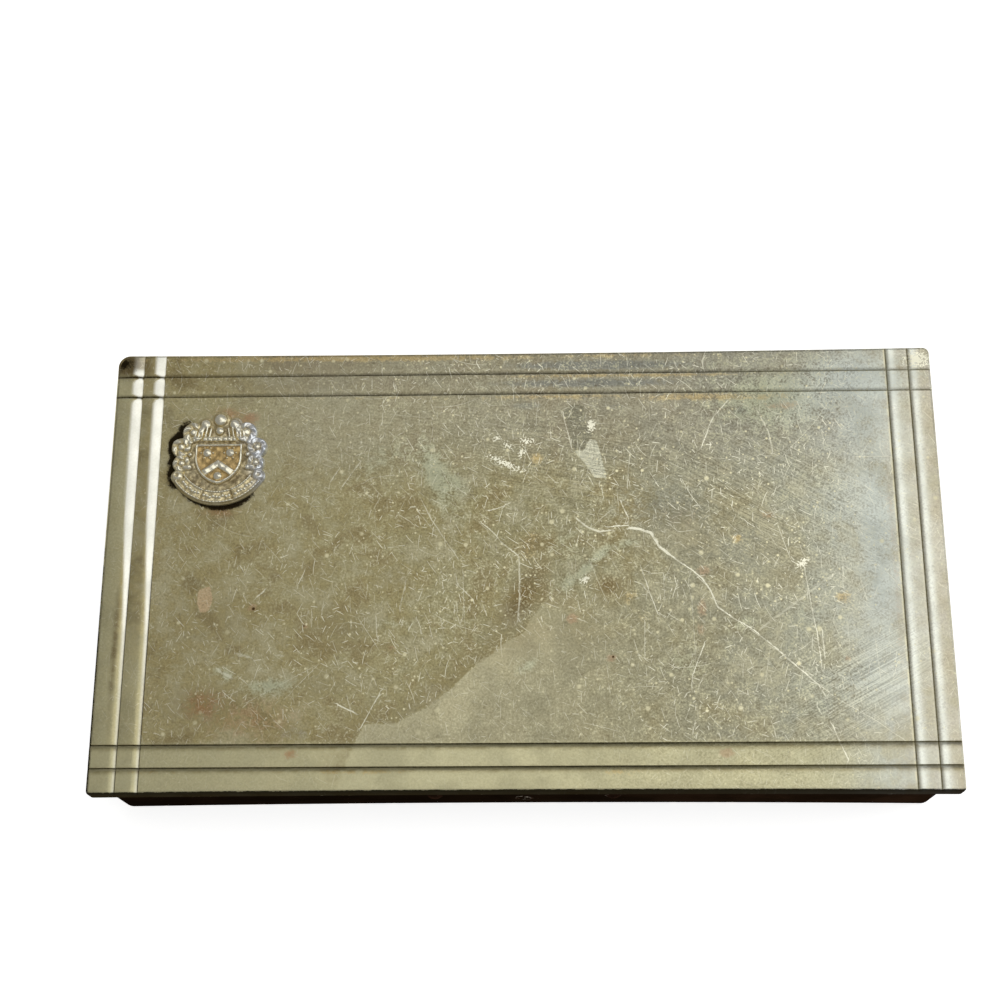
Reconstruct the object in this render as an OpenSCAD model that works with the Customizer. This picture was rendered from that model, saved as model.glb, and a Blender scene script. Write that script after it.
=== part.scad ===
// Flat hinged money box of thin sheet metal, with a turning-key till lock.
// Millimetres, +Z up. The origin is the middle of the underside; the hinges are at +Y.

/* [Box] */
// Length of the lid over its skirt
lid_length = 165; // [150:1:185]
// Depth of the lid, front to back
lid_depth = 90; // [82:1:105]
// Height from the table to the flat top of the lid
box_height = 24; // [24:0.5:30]

/* [Lid pressing] */
// Sheet thickness of the lid pressing
lid_sheet = 0.4; // [0.35:0.05:0.5]
// Height of the skirt, measured from the top of the lid
skirt_height = 3.6; // [3.4:0.1:4.2]
// Outside bend radius between top and skirt, and of the two front corners
edge_r = 0.6; // [0.55:0.05:0.8]
// Radius of the two back corners in plan
back_corner_r = 2; // [1.8:0.1:4]
// Height of the hem folded inside the front and end skirts
hem_height = 1.2; // [0.8:0.1:1.4]

/* [Pressed border] */
// Lid edge to the first pressed line
border_edge = 5; // [4.5:0.1:7]
// First pressed line to the second
line_pitch = 4.4; // [3.5:0.1:6]
// Depth of a pressed line
line_depth = 0.3; // [0.15:0.05:0.3]
// Width of the slope on the outer side of a line
line_slope = 1.5; // [0.8:0.1:2]
// Sideways shift of the pressed pattern on the lid
press_shift = 0.45; // [0:0.05:0.8]

/* [Lid lining pan] */
// Sheet thickness of the pan that lines the lid
pan_sheet = 0.4; // [0.3:0.05:0.5]
// Gap between the pressing and the pan
pan_gap = 0.8; // [0.75:0.05:1]

/* [Badge] */
// Middle of the badge from the left edge of the lid
badge_from_left = 21.9; // [20:0.1:30]
// Middle of the badge from the back edge of the lid
badge_from_back = 22.8; // [21:0.1:35]
// Width of the shield
shield_width = 9.6; // [9:0.1:10.4]
// Thickness of the badge's backplate
badge_base = 0.7; // [0.5:0.05:1]
// Height of the relief on the backplate
badge_relief = 0.8; // [0.5:0.05:1.2]
// Diameter of the two lugs that hold the badge
lug_d = 1.1; // [0.8:0.1:1.3]

/* [Body] */
// Sheet thickness of the wall and the base
wall_t = 0.5; // [0.4:0.05:0.6]
// Gap between the lid's skirt and the wall
skirt_gap = 1.1; // [0.95:0.05:1.4]
// Outside corner radius of the wall in plan
body_corner_r = 2.4; // [2.2:0.1:4]
// Diameter of the wire that the mouth's edge is rolled over
wire_d = 0.8; // [0.6:0.05:0.9]
// Running clearance between the mouth and the lid pan
mouth_clearance = 0.2; // [0.15:0.05:0.3]
// Height of the base panel's underside above the table
base_recess = 1.5; // [1.2:0.1:2.5]
// Width of the lip turned in under the base
base_lip = 1.4; // [1.1:0.1:2]

/* [Hinges] */
// Distance between the middles of the two hinges
hinge_spread = 100; // [80:1:115]
// Width of each hinge
hinge_width = 24; // [18:1:30]
// Sheet thickness of the hinge leaves
leaf_t = 0.5; // [0.4:0.05:0.5]
// Diameter of the hinge pins
pin_d = 1.2; // [1:0.1:1.4]
// Height of the body leaf below the hinge axis
leaf_drop = 9; // [8:0.5:11]
// Diameter of the rivet shanks
rivet_d = 1.6; // [1.2:0.1:1.8]

/* [Lock] */
// Width of the lock case without its ears
lock_width = 30; // [28:1:34]
// Depth of the lock case behind the front wall
lock_depth = 7; // [7:0.5:9]
// Height of the lock case
lock_height = 15; // [14.5:0.5:16]
// Sheet thickness of the lock case and of the lid's tongue
lock_sheet = 0.8; // [0.6:0.1:1]
// Height of the keyhole's middle above the lock case's floor
key_rise = 5; // [4.6:0.1:5.4]
// Diameter of the keyhole's round part
key_hole_d = 3.4; // [3:0.1:3.8]
// Diameter of the post that a barrel key turns on
key_post_d = 1.4; // [1:0.1:1.6]
// Height of the bolt's bar
bolt_height = 3; // [2.6:0.1:3.2]
// Thickness of the bolt
bolt_t = 1.2; // [1:0.1:1.4]
// Travel of the bolt
bolt_travel = 3.5; // [3:0.1:4]

/* [Hidden] */
$fn = 48;

// Colours of the finishes
plated = "#a7a283";
japan_brown = "#3a2019";
gilt_lacquer = "#b08a3c";
bare_steel = "#8d8f90";
badge_metal = "#9c8a66";
copper = "#a8643c";

// Overshoot of a cut past the face it starts from
cut = 0.1;
// Clearance of parts that slide or turn in each other
slide_fit = 0.1;
turn_fit = 0.05;

// Levels of the lid, from the top down
pressing_under = box_height - lid_sheet;
skirt_bottom = box_height - skirt_height;
pan_top = pressing_under - pan_gap;
pan_bottom = pan_top - pan_sheet;
pan_flange_top = pressing_under - line_depth - slide_fit;

// Plan sizes of the body
wall_inset = lid_sheet + skirt_gap;
wall_length = lid_length - 2 * wall_inset;
wall_depth = lid_depth - 2 * wall_inset;
room_length = wall_length - 2 * wall_t;
room_depth = wall_depth - 2 * wall_t;

// Levels of the body
bead_d = wire_d + 2 * wall_t;
mouth_z = pan_bottom - mouth_clearance;
bead_z = mouth_z - bead_d / 2;
base_top = base_recess + wall_t;

// Faces of the front and back walls
front_inner_y = -room_depth / 2;
back_outer_y = wall_depth / 2;

// Hinge
knuckle_r = pin_d / 2 + turn_fit + leaf_t;
knuckle_gap = 0.15;
knuckle_length = (hinge_width - 2 * knuckle_gap) / 3;
hinge_y = back_outer_y + knuckle_r + knuckle_gap;
hinge_z = skirt_bottom - knuckle_r - 0.25;
leaf_shoulder = knuckle_r + 0.2;
leaf_bottom = hinge_z - leaf_drop;
skirt_inner_y = lid_depth / 2 - lid_sheet;
hinge_rivet_x = hinge_width / 2 - 4.5;

// Rivets
rivet_head_d = 1.9 * rivet_d;
rivet_head_h = 0.35 * rivet_d;
hinge_rivet_z = leaf_bottom + rivet_head_d / 2 + 1;

// Lock, placed low enough behind the front wall to clear the wired edge
lock_bottom = bead_z - bead_d / 2 - 1 - lock_height;
lock_back_y = front_inner_y + lock_depth;
lock_ear = 4.5;
lock_rivet_x = lock_width / 2 + lock_ear / 2;
lock_mid_z = lock_bottom + lock_height / 2;
key_z = lock_bottom + key_rise;
key_slot_w = 0.45 * key_hole_d;
key_slot_drop = 1.2 * key_hole_d;
bolt_z = key_z + 5;
bolt_y = lock_back_y - lock_sheet - 2.4;
bolt_left = -11.5;
spring_x = -0.8;
tongue_x = 7;
tongue_room = slide_fit * 4;
bolt_right = tongue_x - tongue_room;
guide_pin_x = [-5.5, 4.2];
guide_pin_d = 1.6;
guide_collar_d = 2.4;
tongue_window_h = bolt_height + 1;
tongue_bottom = bolt_z - 1.6;
tongue_width = 3.6;
tongue_y = bolt_y - tongue_width / 2;
tongue_foot = 7;
tongue_rivet_d = 1.2;

// Badge, in its own plane
badge_x = -lid_length / 2 + badge_from_left;
badge_y = lid_depth / 2 - badge_from_back;
shield_top = 2.8;
lug_x = 4;
plate_margin = 1.2;
filler_x = 6.8;
ribbon_y = 0.6;
ribbon_in = 7.4;
ribbon_out = 10.6;
ribbon_half = 62;
fold_x = 8;
fold_y = -3.9;
fold_r = 1.5;
crown_half = 3.4;
crown_rise = 4.6;
// Each as x, y and radius; the leaves come in mirrored pairs
leaves = [[5.3, 5.3, 2.3], [7.6, 2.2, 2.1], [7.4, -1.2, 1.9]];
crown_balls = [[0, 8, 1.5], [-2.9, 7, 1.2], [2.9, 7, 1.2], [0, 5.6, 1]];

// ---- shapes shared by several pieces ----

// Rectangle in plan with one radius at the front corners and one at the back
module plan(length, depth, r_front, r_back) {
    translate([-length / 2, -depth / 2 + r_front]) square([length, depth - r_front - r_back]);
    translate([-length / 2 + r_front, -depth / 2]) square([length - 2 * r_front, depth / 2]);
    translate([-length / 2 + r_back, 0]) square([length - 2 * r_back, depth / 2]);
    for (side = [-1, 1]) {
        if (r_front > 0)
            translate([side * (length / 2 - r_front), -depth / 2 + r_front]) circle(r_front);
        if (r_back > 0)
            translate([side * (length / 2 - r_back), depth / 2 - r_back]) circle(r_back);
    }
}

// Ring in plan between an outline and one set in by t
module plan_ring(length, depth, r, t) {
    difference() {
        plan(length, depth, r, r);
        plan(length - 2 * t, depth - 2 * t, max(r - t, 0), max(r - t, 0));
    }
}

// Sweeps a profile, drawn with its x outwards, along a rounded rectangle
module sweep_round(length, depth, r) {
    for (side = [-1, 1]) {
        translate([0, side * (depth / 2 - r), 0]) rotate([90, 0, side > 0 ? 90 : -90])
            linear_extrude(length - 2 * r, center = true) translate([r, 0]) children();
        translate([side * (length / 2 - r), 0, 0]) rotate([90, 0, side > 0 ? 0 : 180])
            linear_extrude(depth - 2 * r, center = true) translate([r, 0]) children();
    }
    for (turn = [0 : 3])
        translate([(turn == 0 || turn == 3 ? 1 : -1) * (length / 2 - r),
                   (turn < 2 ? 1 : -1) * (depth / 2 - r), 0])
            rotate([0, 0, 90 * turn]) rotate_extrude(angle = 90) translate([r, 0]) children();
}

// Low domed head that stands on z = 0
module dome(d, h) {
    r = (d * d / 4 + h * h) / (2 * h);
    rotate_extrude() intersection() {
        translate([0, h - r]) circle(r, $fn = 96);
        square([d / 2, h]);
    }
}

// Rivet along +Z that grips from z = 0 to z = grip, with a head at each end
module rivet(d, grip, head_h = rivet_head_h) {
    cylinder(d = d, h = grip);
    translate([0, 0, grip]) dome(1.9 * d, head_h);
    mirror([0, 0, 1]) dome(1.9 * d, head_h);
}

// ---- body ----

module keyhole(y, depth) {
    translate([0, y, key_z]) rotate([-90, 0, 0]) cylinder(d = key_hole_d, h = depth);
    translate([-key_slot_w / 2, y, key_z - key_slot_drop]) cube([key_slot_w, depth, key_slot_drop]);
}

// The edge rolled over the rim wire, open on the underside
module rolled_edge() {
    difference() {
        circle(d = bead_d);
        circle(d = wire_d);
        translate([-bead_d / 2, -bead_d / 2]) square([bead_d / 2 - wire_d / 4, bead_d / 2 - wire_d / 4]);
    }
}

module body_wall() {
    seam_width = 5;
    color(japan_brown) difference() {
        union() {
            linear_extrude(bead_z) plan_ring(wall_length, wall_depth, body_corner_r, wall_t);
            translate([0, 0, bead_z])
                sweep_round(wall_length - bead_d, wall_depth - bead_d, body_corner_r - bead_d / 2)
                    rolled_edge();
            linear_extrude(wall_t) plan_ring(wall_length, wall_depth, body_corner_r, base_lip);
            translate([-seam_width / 2, room_depth / 2 - wall_t, base_top])
                cube([seam_width, wall_t, bead_z - bead_d / 2 - base_top]);
        }
        keyhole(-wall_depth / 2 - cut, wall_t + 2 * cut);
        for (side = [-1, 1])
            translate([side * lock_rivet_x, -wall_depth / 2 - cut, lock_mid_z]) rotate([-90, 0, 0])
                cylinder(d = rivet_d, h = wall_t + 2 * cut);
        for (x = hinge_rivet_places())
            translate([x, room_depth / 2 - cut, hinge_rivet_z]) rotate([-90, 0, 0])
                cylinder(d = rivet_d, h = wall_t + 2 * cut);
    }
}

module rim_wire() {
    color(bare_steel) translate([0, 0, bead_z])
        sweep_round(wall_length - bead_d, wall_depth - bead_d, body_corner_r - bead_d / 2)
            circle(d = wire_d);
}

module base_pan() {
    inner_r = body_corner_r - wall_t;
    color(japan_brown) {
        translate([0, 0, base_recess]) linear_extrude(wall_t)
            plan(room_length, room_depth, inner_r, inner_r);
        translate([0, 0, wall_t]) linear_extrude(base_recess)
            plan_ring(room_length, room_depth, inner_r, wall_t);
    }
}

// ---- hinges ----

function hinge_middle(side) = side * hinge_spread / 2;
function hinge_rivet_places() =
    [for (side = [-1, 1], end = [-1, 1]) hinge_middle(side) + end * hinge_rivet_x];

module knuckle(x, length) {
    translate([x, 0, 0]) rotate([0, 90, 0]) difference() {
        cylinder(r = knuckle_r, h = length);
        translate([0, 0, -cut]) cylinder(d = pin_d + 2 * turn_fit, h = length + 2 * cut);
    }
}

// Strip that joins a leaf to its knuckle, cut off at the pin bore
module leaf_neck(x, length, y, reach) {
    difference() {
        translate([x, y, min(0, reach)]) cube([length, leaf_t, abs(reach)]);
        translate([x - cut, 0, 0]) rotate([0, 90, 0])
            cylinder(d = pin_d + 2 * turn_fit, h = length + 2 * cut);
    }
}

module hinge_body_leaf(side) {
    leaf_y = back_outer_y - hinge_y;
    color(plated) translate([hinge_middle(side), hinge_y, hinge_z]) difference() {
        union() {
            for (x = [-hinge_width / 2, hinge_width / 2 - knuckle_length]) {
                knuckle(x, knuckle_length);
                leaf_neck(x, knuckle_length, leaf_y, -leaf_shoulder);
            }
            translate([-hinge_width / 2, leaf_y, -leaf_drop])
                cube([hinge_width, leaf_t, leaf_drop - leaf_shoulder]);
        }
        for (end = [-1, 1])
            translate([end * hinge_rivet_x, leaf_y - cut, hinge_rivet_z - hinge_z])
                rotate([-90, 0, 0]) cylinder(d = rivet_d, h = leaf_t + 2 * cut);
    }
}

module hinge_lid_leaf(side) {
    leaf_y = skirt_inner_y - leaf_t - hinge_y;
    leaf_top = pan_bottom - slide_fit - hinge_z;
    color(plated) translate([hinge_middle(side), hinge_y, hinge_z]) {
        knuckle(-knuckle_length / 2, knuckle_length);
        leaf_neck(-knuckle_length / 2, knuckle_length, leaf_y, leaf_shoulder);
        translate([-hinge_width / 2, leaf_y, leaf_shoulder])
            cube([hinge_width, leaf_t, leaf_top - leaf_shoulder]);
    }
}

module hinge_pin(side) {
    end_head = 0.4;
    color(bare_steel) translate([hinge_middle(side) - hinge_width / 2, hinge_y, hinge_z])
        rotate([0, 90, 0]) rivet(pin_d, hinge_width, end_head);
}

module hinge_rivets() {
    color(plated) for (x = hinge_rivet_places())
        translate([x, room_depth / 2, hinge_rivet_z]) rotate([-90, 0, 0])
            rivet(rivet_d, wall_t + leaf_t);
}

// ---- lock ----

module lock_case() {
    inner_width = lock_width - 2 * lock_sheet;
    slot_y = tongue_y - 2 * tongue_room;
    color(bare_steel) difference() {
        union() {
            translate([-lock_width / 2, front_inner_y, lock_bottom])
                cube([lock_width, lock_depth, lock_height]);
            translate([-lock_width / 2 - lock_ear, front_inner_y, lock_mid_z - lock_ear / 2])
                cube([lock_width + 2 * lock_ear, lock_sheet, lock_ear]);
        }
        translate([-inner_width / 2, front_inner_y - cut, lock_bottom + lock_sheet])
            cube([inner_width, lock_depth - lock_sheet + cut, lock_height - 2 * lock_sheet]);
        translate([tongue_x - tongue_room, slot_y, lock_bottom + lock_height - lock_sheet - cut])
            cube([lock_sheet + 2 * tongue_room, tongue_width + 3 * tongue_room, lock_sheet + 2 * cut]);
        for (side = [-1, 1])
            translate([side * lock_rivet_x, front_inner_y - cut, lock_mid_z]) rotate([-90, 0, 0])
                cylinder(d = rivet_d, h = lock_sheet + 2 * cut);
        for (x = guide_pin_x)
            translate([x, lock_back_y - lock_sheet - cut, bolt_z + bolt_height / 2])
                rotate([-90, 0, 0]) cylinder(d = guide_pin_d, h = lock_sheet + 2 * cut);
        translate([0, lock_back_y - lock_sheet - cut, key_z]) rotate([-90, 0, 0])
            cylinder(d = key_post_d, h = lock_sheet + 2 * cut);
    }
}

module lock_rivets() {
    color(japan_brown) for (side = [-1, 1])
        translate([side * lock_rivet_x, front_inner_y - wall_t, lock_mid_z]) rotate([-90, 0, 0])
            rivet(rivet_d, wall_t + lock_sheet);
}

module key_post() {
    color(bare_steel) translate([0, lock_back_y, key_z]) rotate([90, 0, 0]) {
        cylinder(d = key_post_d, h = lock_depth - 0.2);
        mirror([0, 0, 1]) dome(2 * key_post_d, 0.5);
    }
}

// Pins through the bolt's two slots, with a collar behind the bolt
module bolt_guide_pins() {
    collar = lock_back_y - lock_sheet - (bolt_y + bolt_t / 2 + slide_fit);
    pin_reach = lock_back_y - (bolt_y - bolt_t / 2) + 1;
    color(bare_steel) for (x = guide_pin_x)
        translate([x, lock_back_y, bolt_z + bolt_height / 2]) rotate([90, 0, 0]) {
            cylinder(d = guide_pin_d, h = pin_reach);
            translate([0, 0, lock_sheet]) cylinder(d = guide_collar_d, h = collar);
            mirror([0, 0, 1]) dome(2 * guide_pin_d, 0.5);
        }
}

// Bar with two guide slots, two detent notches on top and the key's talon below
module lock_bolt() {
    talon_w = 3;
    talon_h = 2;
    talon_x = -bolt_travel / 2;
    bit_w = 3;
    detent = 0.35;
    detent_x = spring_x;
    color(bare_steel) translate([0, bolt_y + bolt_t / 2, bolt_z]) rotate([90, 0, 0])
        linear_extrude(bolt_t) difference() {
            union() {
                translate([bolt_left, 0]) square([bolt_right - bolt_left, bolt_height]);
                translate([talon_x - bit_w / 2 - talon_w, -talon_h])
                    square([bit_w + 2 * talon_w, talon_h + cut]);
            }
            translate([talon_x - bit_w / 2, -talon_h - cut]) square([bit_w, talon_h + 2 * cut]);
            for (x = guide_pin_x) {
                for (end = [-bolt_travel, 0])
                    translate([x + end, bolt_height / 2]) circle(d = guide_pin_d + 2 * slide_fit);
                translate([x - bolt_travel, bolt_height / 2 - guide_pin_d / 2 - slide_fit])
                    square([bolt_travel, guide_pin_d + 2 * slide_fit]);
            }
            for (step = [0, 1])
                translate([detent_x - step * bolt_travel, bolt_height + detent])
                    circle(d = 4 * detent);
        }
}

// Bowed leaf between the roof of the lock case and the bolt's top edge
module bolt_spring() {
    spring_t = 0.3;
    spring_w = 2;
    roof = lock_bottom + lock_height - lock_sheet;
    bolt_top = bolt_z + bolt_height;
    rise = roof - bolt_top - slide_fit;
    half = 4.5;
    bow_r = (half * half + rise * rise) / (2 * rise);
    color(bare_steel) translate([spring_x, bolt_y + spring_w / 2, bolt_top + slide_fit])
        rotate([90, 0, 0]) linear_extrude(spring_w) {
            intersection() {
                translate([0, bow_r]) difference() {
                    circle(bow_r, $fn = 120);
                    circle(bow_r - spring_t, $fn = 120);
                }
                translate([-half, 0]) square([2 * half, rise]);
            }
            for (side = [-1, 1])
                translate([side * half - (side < 0 ? 1.5 : 0.5), rise - spring_t])
                    square([2, spring_t]);
        }
}

// ---- lid ----

// Square section of side 2 * edge_r about the origin, rounded at its outer top corner
module bend_section() {
    translate([-edge_r, -edge_r]) square([edge_r, 2 * edge_r]);
    translate([0, -edge_r]) square(edge_r);
    intersection() {
        circle(edge_r);
        square(edge_r);
    }
}

// Solid block of the lid with its top edges bent over at edge_r
module lid_block() {
    bend_z = skirt_height - edge_r;
    bend_x = lid_length / 2 - edge_r;
    bend_y = lid_depth / 2 - edge_r;
    side_length = lid_depth - edge_r - back_corner_r;
    translate([0, 0, skirt_bottom]) {
        linear_extrude(bend_z) plan(lid_length, lid_depth, edge_r, back_corner_r);
        linear_extrude(skirt_height) plan(2 * bend_x, 2 * bend_y, 0, back_corner_r - edge_r);
        translate([0, -bend_y, bend_z]) rotate([90, 0, -90])
            linear_extrude(2 * bend_x, center = true) bend_section();
        translate([0, bend_y, bend_z]) rotate([90, 0, 90])
            linear_extrude(lid_length - 2 * back_corner_r, center = true) bend_section();
        for (side = [-1, 1]) {
            translate([side * bend_x, -bend_y + side_length / 2, bend_z])
                rotate([90, 0, side > 0 ? 0 : 180])
                    linear_extrude(side_length, center = true) bend_section();
            translate([side * bend_x, -bend_y, bend_z]) rotate([0, 0, side > 0 ? -90 : 180])
                rotate_extrude(angle = 90) intersection() {
                    bend_section();
                    translate([0, -edge_r]) square([edge_r, 2 * edge_r]);
                }
            translate([side * (lid_length / 2 - back_corner_r), lid_depth / 2 - back_corner_r, bend_z])
                rotate([0, 0, side > 0 ? 0 : 90]) rotate_extrude(angle = 90)
                    translate([back_corner_r - edge_r, 0]) bend_section();
        }
    }
}

// Section of a pressed line: a steep step on its inner side, a long slope on the outer
module groove_section(outward) {
    polygon([[0, cut], [0, -line_depth], [outward * line_slope, 0], [outward * line_slope, cut]]);
}

// The same line on the underside, carried past the step so that the sheet keeps its strength
module ridge_section(outward) {
    past = 0.6 * lid_sheet;
    root = 0.1 * lid_sheet;
    polygon([[-outward * past, root], [-outward * past, -line_depth], [0, -line_depth],
             [outward * line_slope, 0], [outward * line_slope, root]]);
}

// Eight lines at level z, two along each edge, running off the lid at both ends.
// The first child makes those at the left and front, the second those at the right and back.
module pressed_lines(z, length, depth) {
    for (side = [0, 1], line = [0, 1]) {
        from_edge = border_edge + line * line_pitch;
        away = 2 * side - 1;
        translate([away * (lid_length / 2 - from_edge) + press_shift, 0, z]) rotate([90, 0, 0])
            linear_extrude(depth, center = true) children(side);
        translate([0, away * (lid_depth / 2 - from_edge), z]) rotate([90, 0, 90])
            linear_extrude(length, center = true) children(side);
    }
}

module lid_pressing() {
    inner_length = lid_length - 2 * lid_sheet;
    inner_depth = lid_depth - 2 * lid_sheet;
    inner_back_r = back_corner_r - lid_sheet;
    color(plated) difference() {
        union() {
            difference() {
                lid_block();
                translate([0, 0, skirt_bottom - cut]) linear_extrude(skirt_height - lid_sheet + cut)
                    plan(inner_length, inner_depth, edge_r - lid_sheet, inner_back_r);
            }
            pressed_lines(pressing_under, inner_length, inner_depth) {
                ridge_section(-1);
                ridge_section(1);
            }
            for (side = [-1, 1])
                translate([side > 0 ? inner_length / 2 - lid_sheet : -inner_length / 2,
                           -inner_depth / 2, skirt_bottom])
                    cube([lid_sheet, inner_depth - inner_back_r, hem_height]);
            translate([-inner_length / 2, -inner_depth / 2, skirt_bottom])
                cube([inner_length, lid_sheet, hem_height]);
        }
        pressed_lines(box_height, lid_length + 2 * cut, lid_depth + 2 * cut) {
            groove_section(-1);
            groove_section(1);
        }
        for (side = [-1, 1])
            translate([badge_x + side * lug_x, badge_y, pressing_under - cut])
                cylinder(d = lug_d, h = lid_sheet + 2 * cut);
    }
}

module lid_lining_pan() {
    pan_length = lid_length - 2 * lid_sheet;
    pan_depth = lid_depth - 2 * lid_sheet;
    front_r = edge_r - lid_sheet;
    back_r = back_corner_r - lid_sheet;
    color(gilt_lacquer) difference() {
        translate([0, 0, pan_bottom]) linear_extrude(pan_flange_top - pan_bottom)
            plan(pan_length, pan_depth, front_r, back_r);
        translate([0, 0, pan_top]) linear_extrude(pan_flange_top - pan_top + cut)
            plan(pan_length - 2 * pan_sheet, pan_depth - 2 * pan_sheet, 0, back_r - pan_sheet);
        for (place = tongue_rivet_places())
            translate([place[0], place[1], pan_bottom - cut])
                cylinder(d = tongue_rivet_d, h = pan_sheet + 2 * cut);
    }
}

function tongue_rivet_places() =
    [for (along = [0.3, 0.75]) [tongue_x + lock_sheet + along * tongue_foot, tongue_y + tongue_width / 2]];

// Angle hung from the lining pan; its window takes the bolt
module lock_tongue() {
    window_bottom = bolt_z - (tongue_window_h - bolt_height) / 2;
    color(bare_steel) difference() {
        union() {
            translate([tongue_x, tongue_y, tongue_bottom])
                cube([lock_sheet, tongue_width, pan_bottom - tongue_bottom]);
            translate([tongue_x, tongue_y, pan_bottom - lock_sheet])
                cube([lock_sheet + tongue_foot, tongue_width, lock_sheet]);
        }
        translate([tongue_x - cut, bolt_y - bolt_t / 2 - tongue_room, window_bottom])
            cube([lock_sheet + 2 * cut, bolt_t + 2 * tongue_room, tongue_window_h]);
        for (place = tongue_rivet_places())
            translate([place[0], place[1], pan_bottom - lock_sheet - cut])
                cylinder(d = tongue_rivet_d, h = lock_sheet + 2 * cut);
    }
}

module tongue_rivets() {
    color(bare_steel) for (place = tongue_rivet_places())
        translate([place[0], place[1], pan_bottom - lock_sheet])
            rivet(tongue_rivet_d, lock_sheet + pan_sheet, 0.35);
}

// ---- badge ----

// Shield with straight sides above y = 0 and two arcs meeting in a point below
module shield(width, top) {
    r = 0.62 * width;
    translate([-width / 2, 0]) square([width, top]);
    intersection() {
        translate([width / 2 - r, 0]) circle(r);
        translate([r - width / 2, 0]) circle(r);
        translate([-width / 2, -r]) square([width, r]);
    }
}

// Curved ribbon under the shield
module ribbon(inner, outer, half_angle) {
    reach = 2 * outer;
    intersection() {
        difference() {
            circle(outer);
            circle(inner);
        }
        polygon([[0, 0], [-reach * sin(half_angle), -reach * cos(half_angle)], [0, -2 * reach],
                 [reach * sin(half_angle), -reach * cos(half_angle)]]);
    }
}

// Backplate: the gaps between shield, leaves, crown and ribbon are filled
module badge_outline() {
    shield(shield_width + 2 * plate_margin, shield_top + plate_margin);
    translate([-filler_x, fold_y + 0.7]) square([2 * filler_x, shield_top + plate_margin - fold_y - 0.7]);
    translate([-crown_half, shield_top]) square([2 * crown_half, crown_rise]);
    translate([0, ribbon_y]) ribbon(ribbon_in / 2, ribbon_out, ribbon_half);
    for (side = [-1, 1], leaf = leaves)
        translate([side * leaf[0], leaf[1]]) circle(leaf[2]);
    for (ball = crown_balls)
        translate([ball[0], ball[1]]) circle(ball[2] + 0.45);
    for (side = [-1, 1])
        translate([side * fold_x, fold_y]) circle(fold_r);
}

// Scroll of a leaf: a raised ring with a bead in its middle
module scroll(r) {
    rotate_extrude() translate([0.66 * r, 0]) intersection() {
        circle(0.26 * r);
        translate([-r, 0]) square([2 * r, r]);
    }
    dome(0.7 * r, 0.3 * r);
}

module crest_badge() {
    field = 0.35 * badge_relief;
    charge = 0.75 * badge_relief;
    ball_h = 0.8 * badge_relief;
    inner_w = shield_width - 1.2;
    color(badge_metal) translate([badge_x, badge_y, box_height]) {
        linear_extrude(badge_base) badge_outline();
        translate([0, 0, badge_base]) {
            linear_extrude(badge_relief) difference() {
                shield(shield_width, shield_top);
                shield(inner_w, shield_top - 0.6);
            }
            linear_extrude(field) shield(inner_w + cut, shield_top - 0.5);
            linear_extrude(charge) intersection() {
                shield(inner_w + cut, shield_top - 0.5);
                polygon([[-inner_w, -5.2], [0, -0.4], [inner_w, -5.2], [inner_w, -7.2], [0, -2.4],
                         [-inner_w, -7.2]]);
            }
            for (ball = [[-2.3, 0.9], [2.3, 0.9], [0, -4]])
                translate([ball[0], ball[1], field]) dome(1.7, 0.5 * badge_relief);
            linear_extrude(charge) translate([-crown_half, shield_top + 0.5]) square([2 * crown_half, 1]);
            for (ball = crown_balls)
                translate([ball[0], ball[1], 0]) dome(1.8 * ball[2], ball_h);
            for (side = [-1, 1], leaf = leaves)
                translate([side * leaf[0], leaf[1], 0]) scroll(0.78 * leaf[2]);
            translate([0, ribbon_y, 0]) linear_extrude(field)
                ribbon(ribbon_in + 0.4, ribbon_out - 0.4, ribbon_half - 9);
            translate([0, ribbon_y, 0]) linear_extrude(charge) {
                ribbon(ribbon_in + 0.3, ribbon_in + 0.7, ribbon_half - 9);
                ribbon(ribbon_out - 0.7, ribbon_out - 0.3, ribbon_half - 9);
            }
            for (side = [-1, 1])
                translate([side * fold_x, fold_y, 0]) dome(1.5 * fold_r, charge);
        }
    }
}

// Lugs of the badge through the lid, with their ends riveted over inside
module badge_lugs() {
    head = 0.35;
    color(copper) for (side = [-1, 1])
        translate([badge_x + side * lug_x, badge_y, pressing_under]) {
            cylinder(d = lug_d, h = lid_sheet);
            mirror([0, 0, 1]) dome(1.8 * lug_d, head);
        }
}

body_wall();
rim_wire();
base_pan();
hinge_body_leaf(-1);  // hinge_body_leaf_left
hinge_body_leaf(1);  // hinge_body_leaf_right
hinge_pin(-1);  // hinge_pin_left
hinge_pin(1);  // hinge_pin_right
hinge_rivets();
lock_case();
lock_rivets();
key_post();
bolt_guide_pins();
bolt_spring();
lock_bolt();
lid_pressing();
lid_lining_pan();
crest_badge();
badge_lugs();
hinge_lid_leaf(-1);  // hinge_lid_leaf_left
hinge_lid_leaf(1);  // hinge_lid_leaf_right
lock_tongue();
tongue_rivets();
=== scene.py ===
import math

import bmesh
import bpy
import numpy as np
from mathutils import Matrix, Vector, noise


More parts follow.
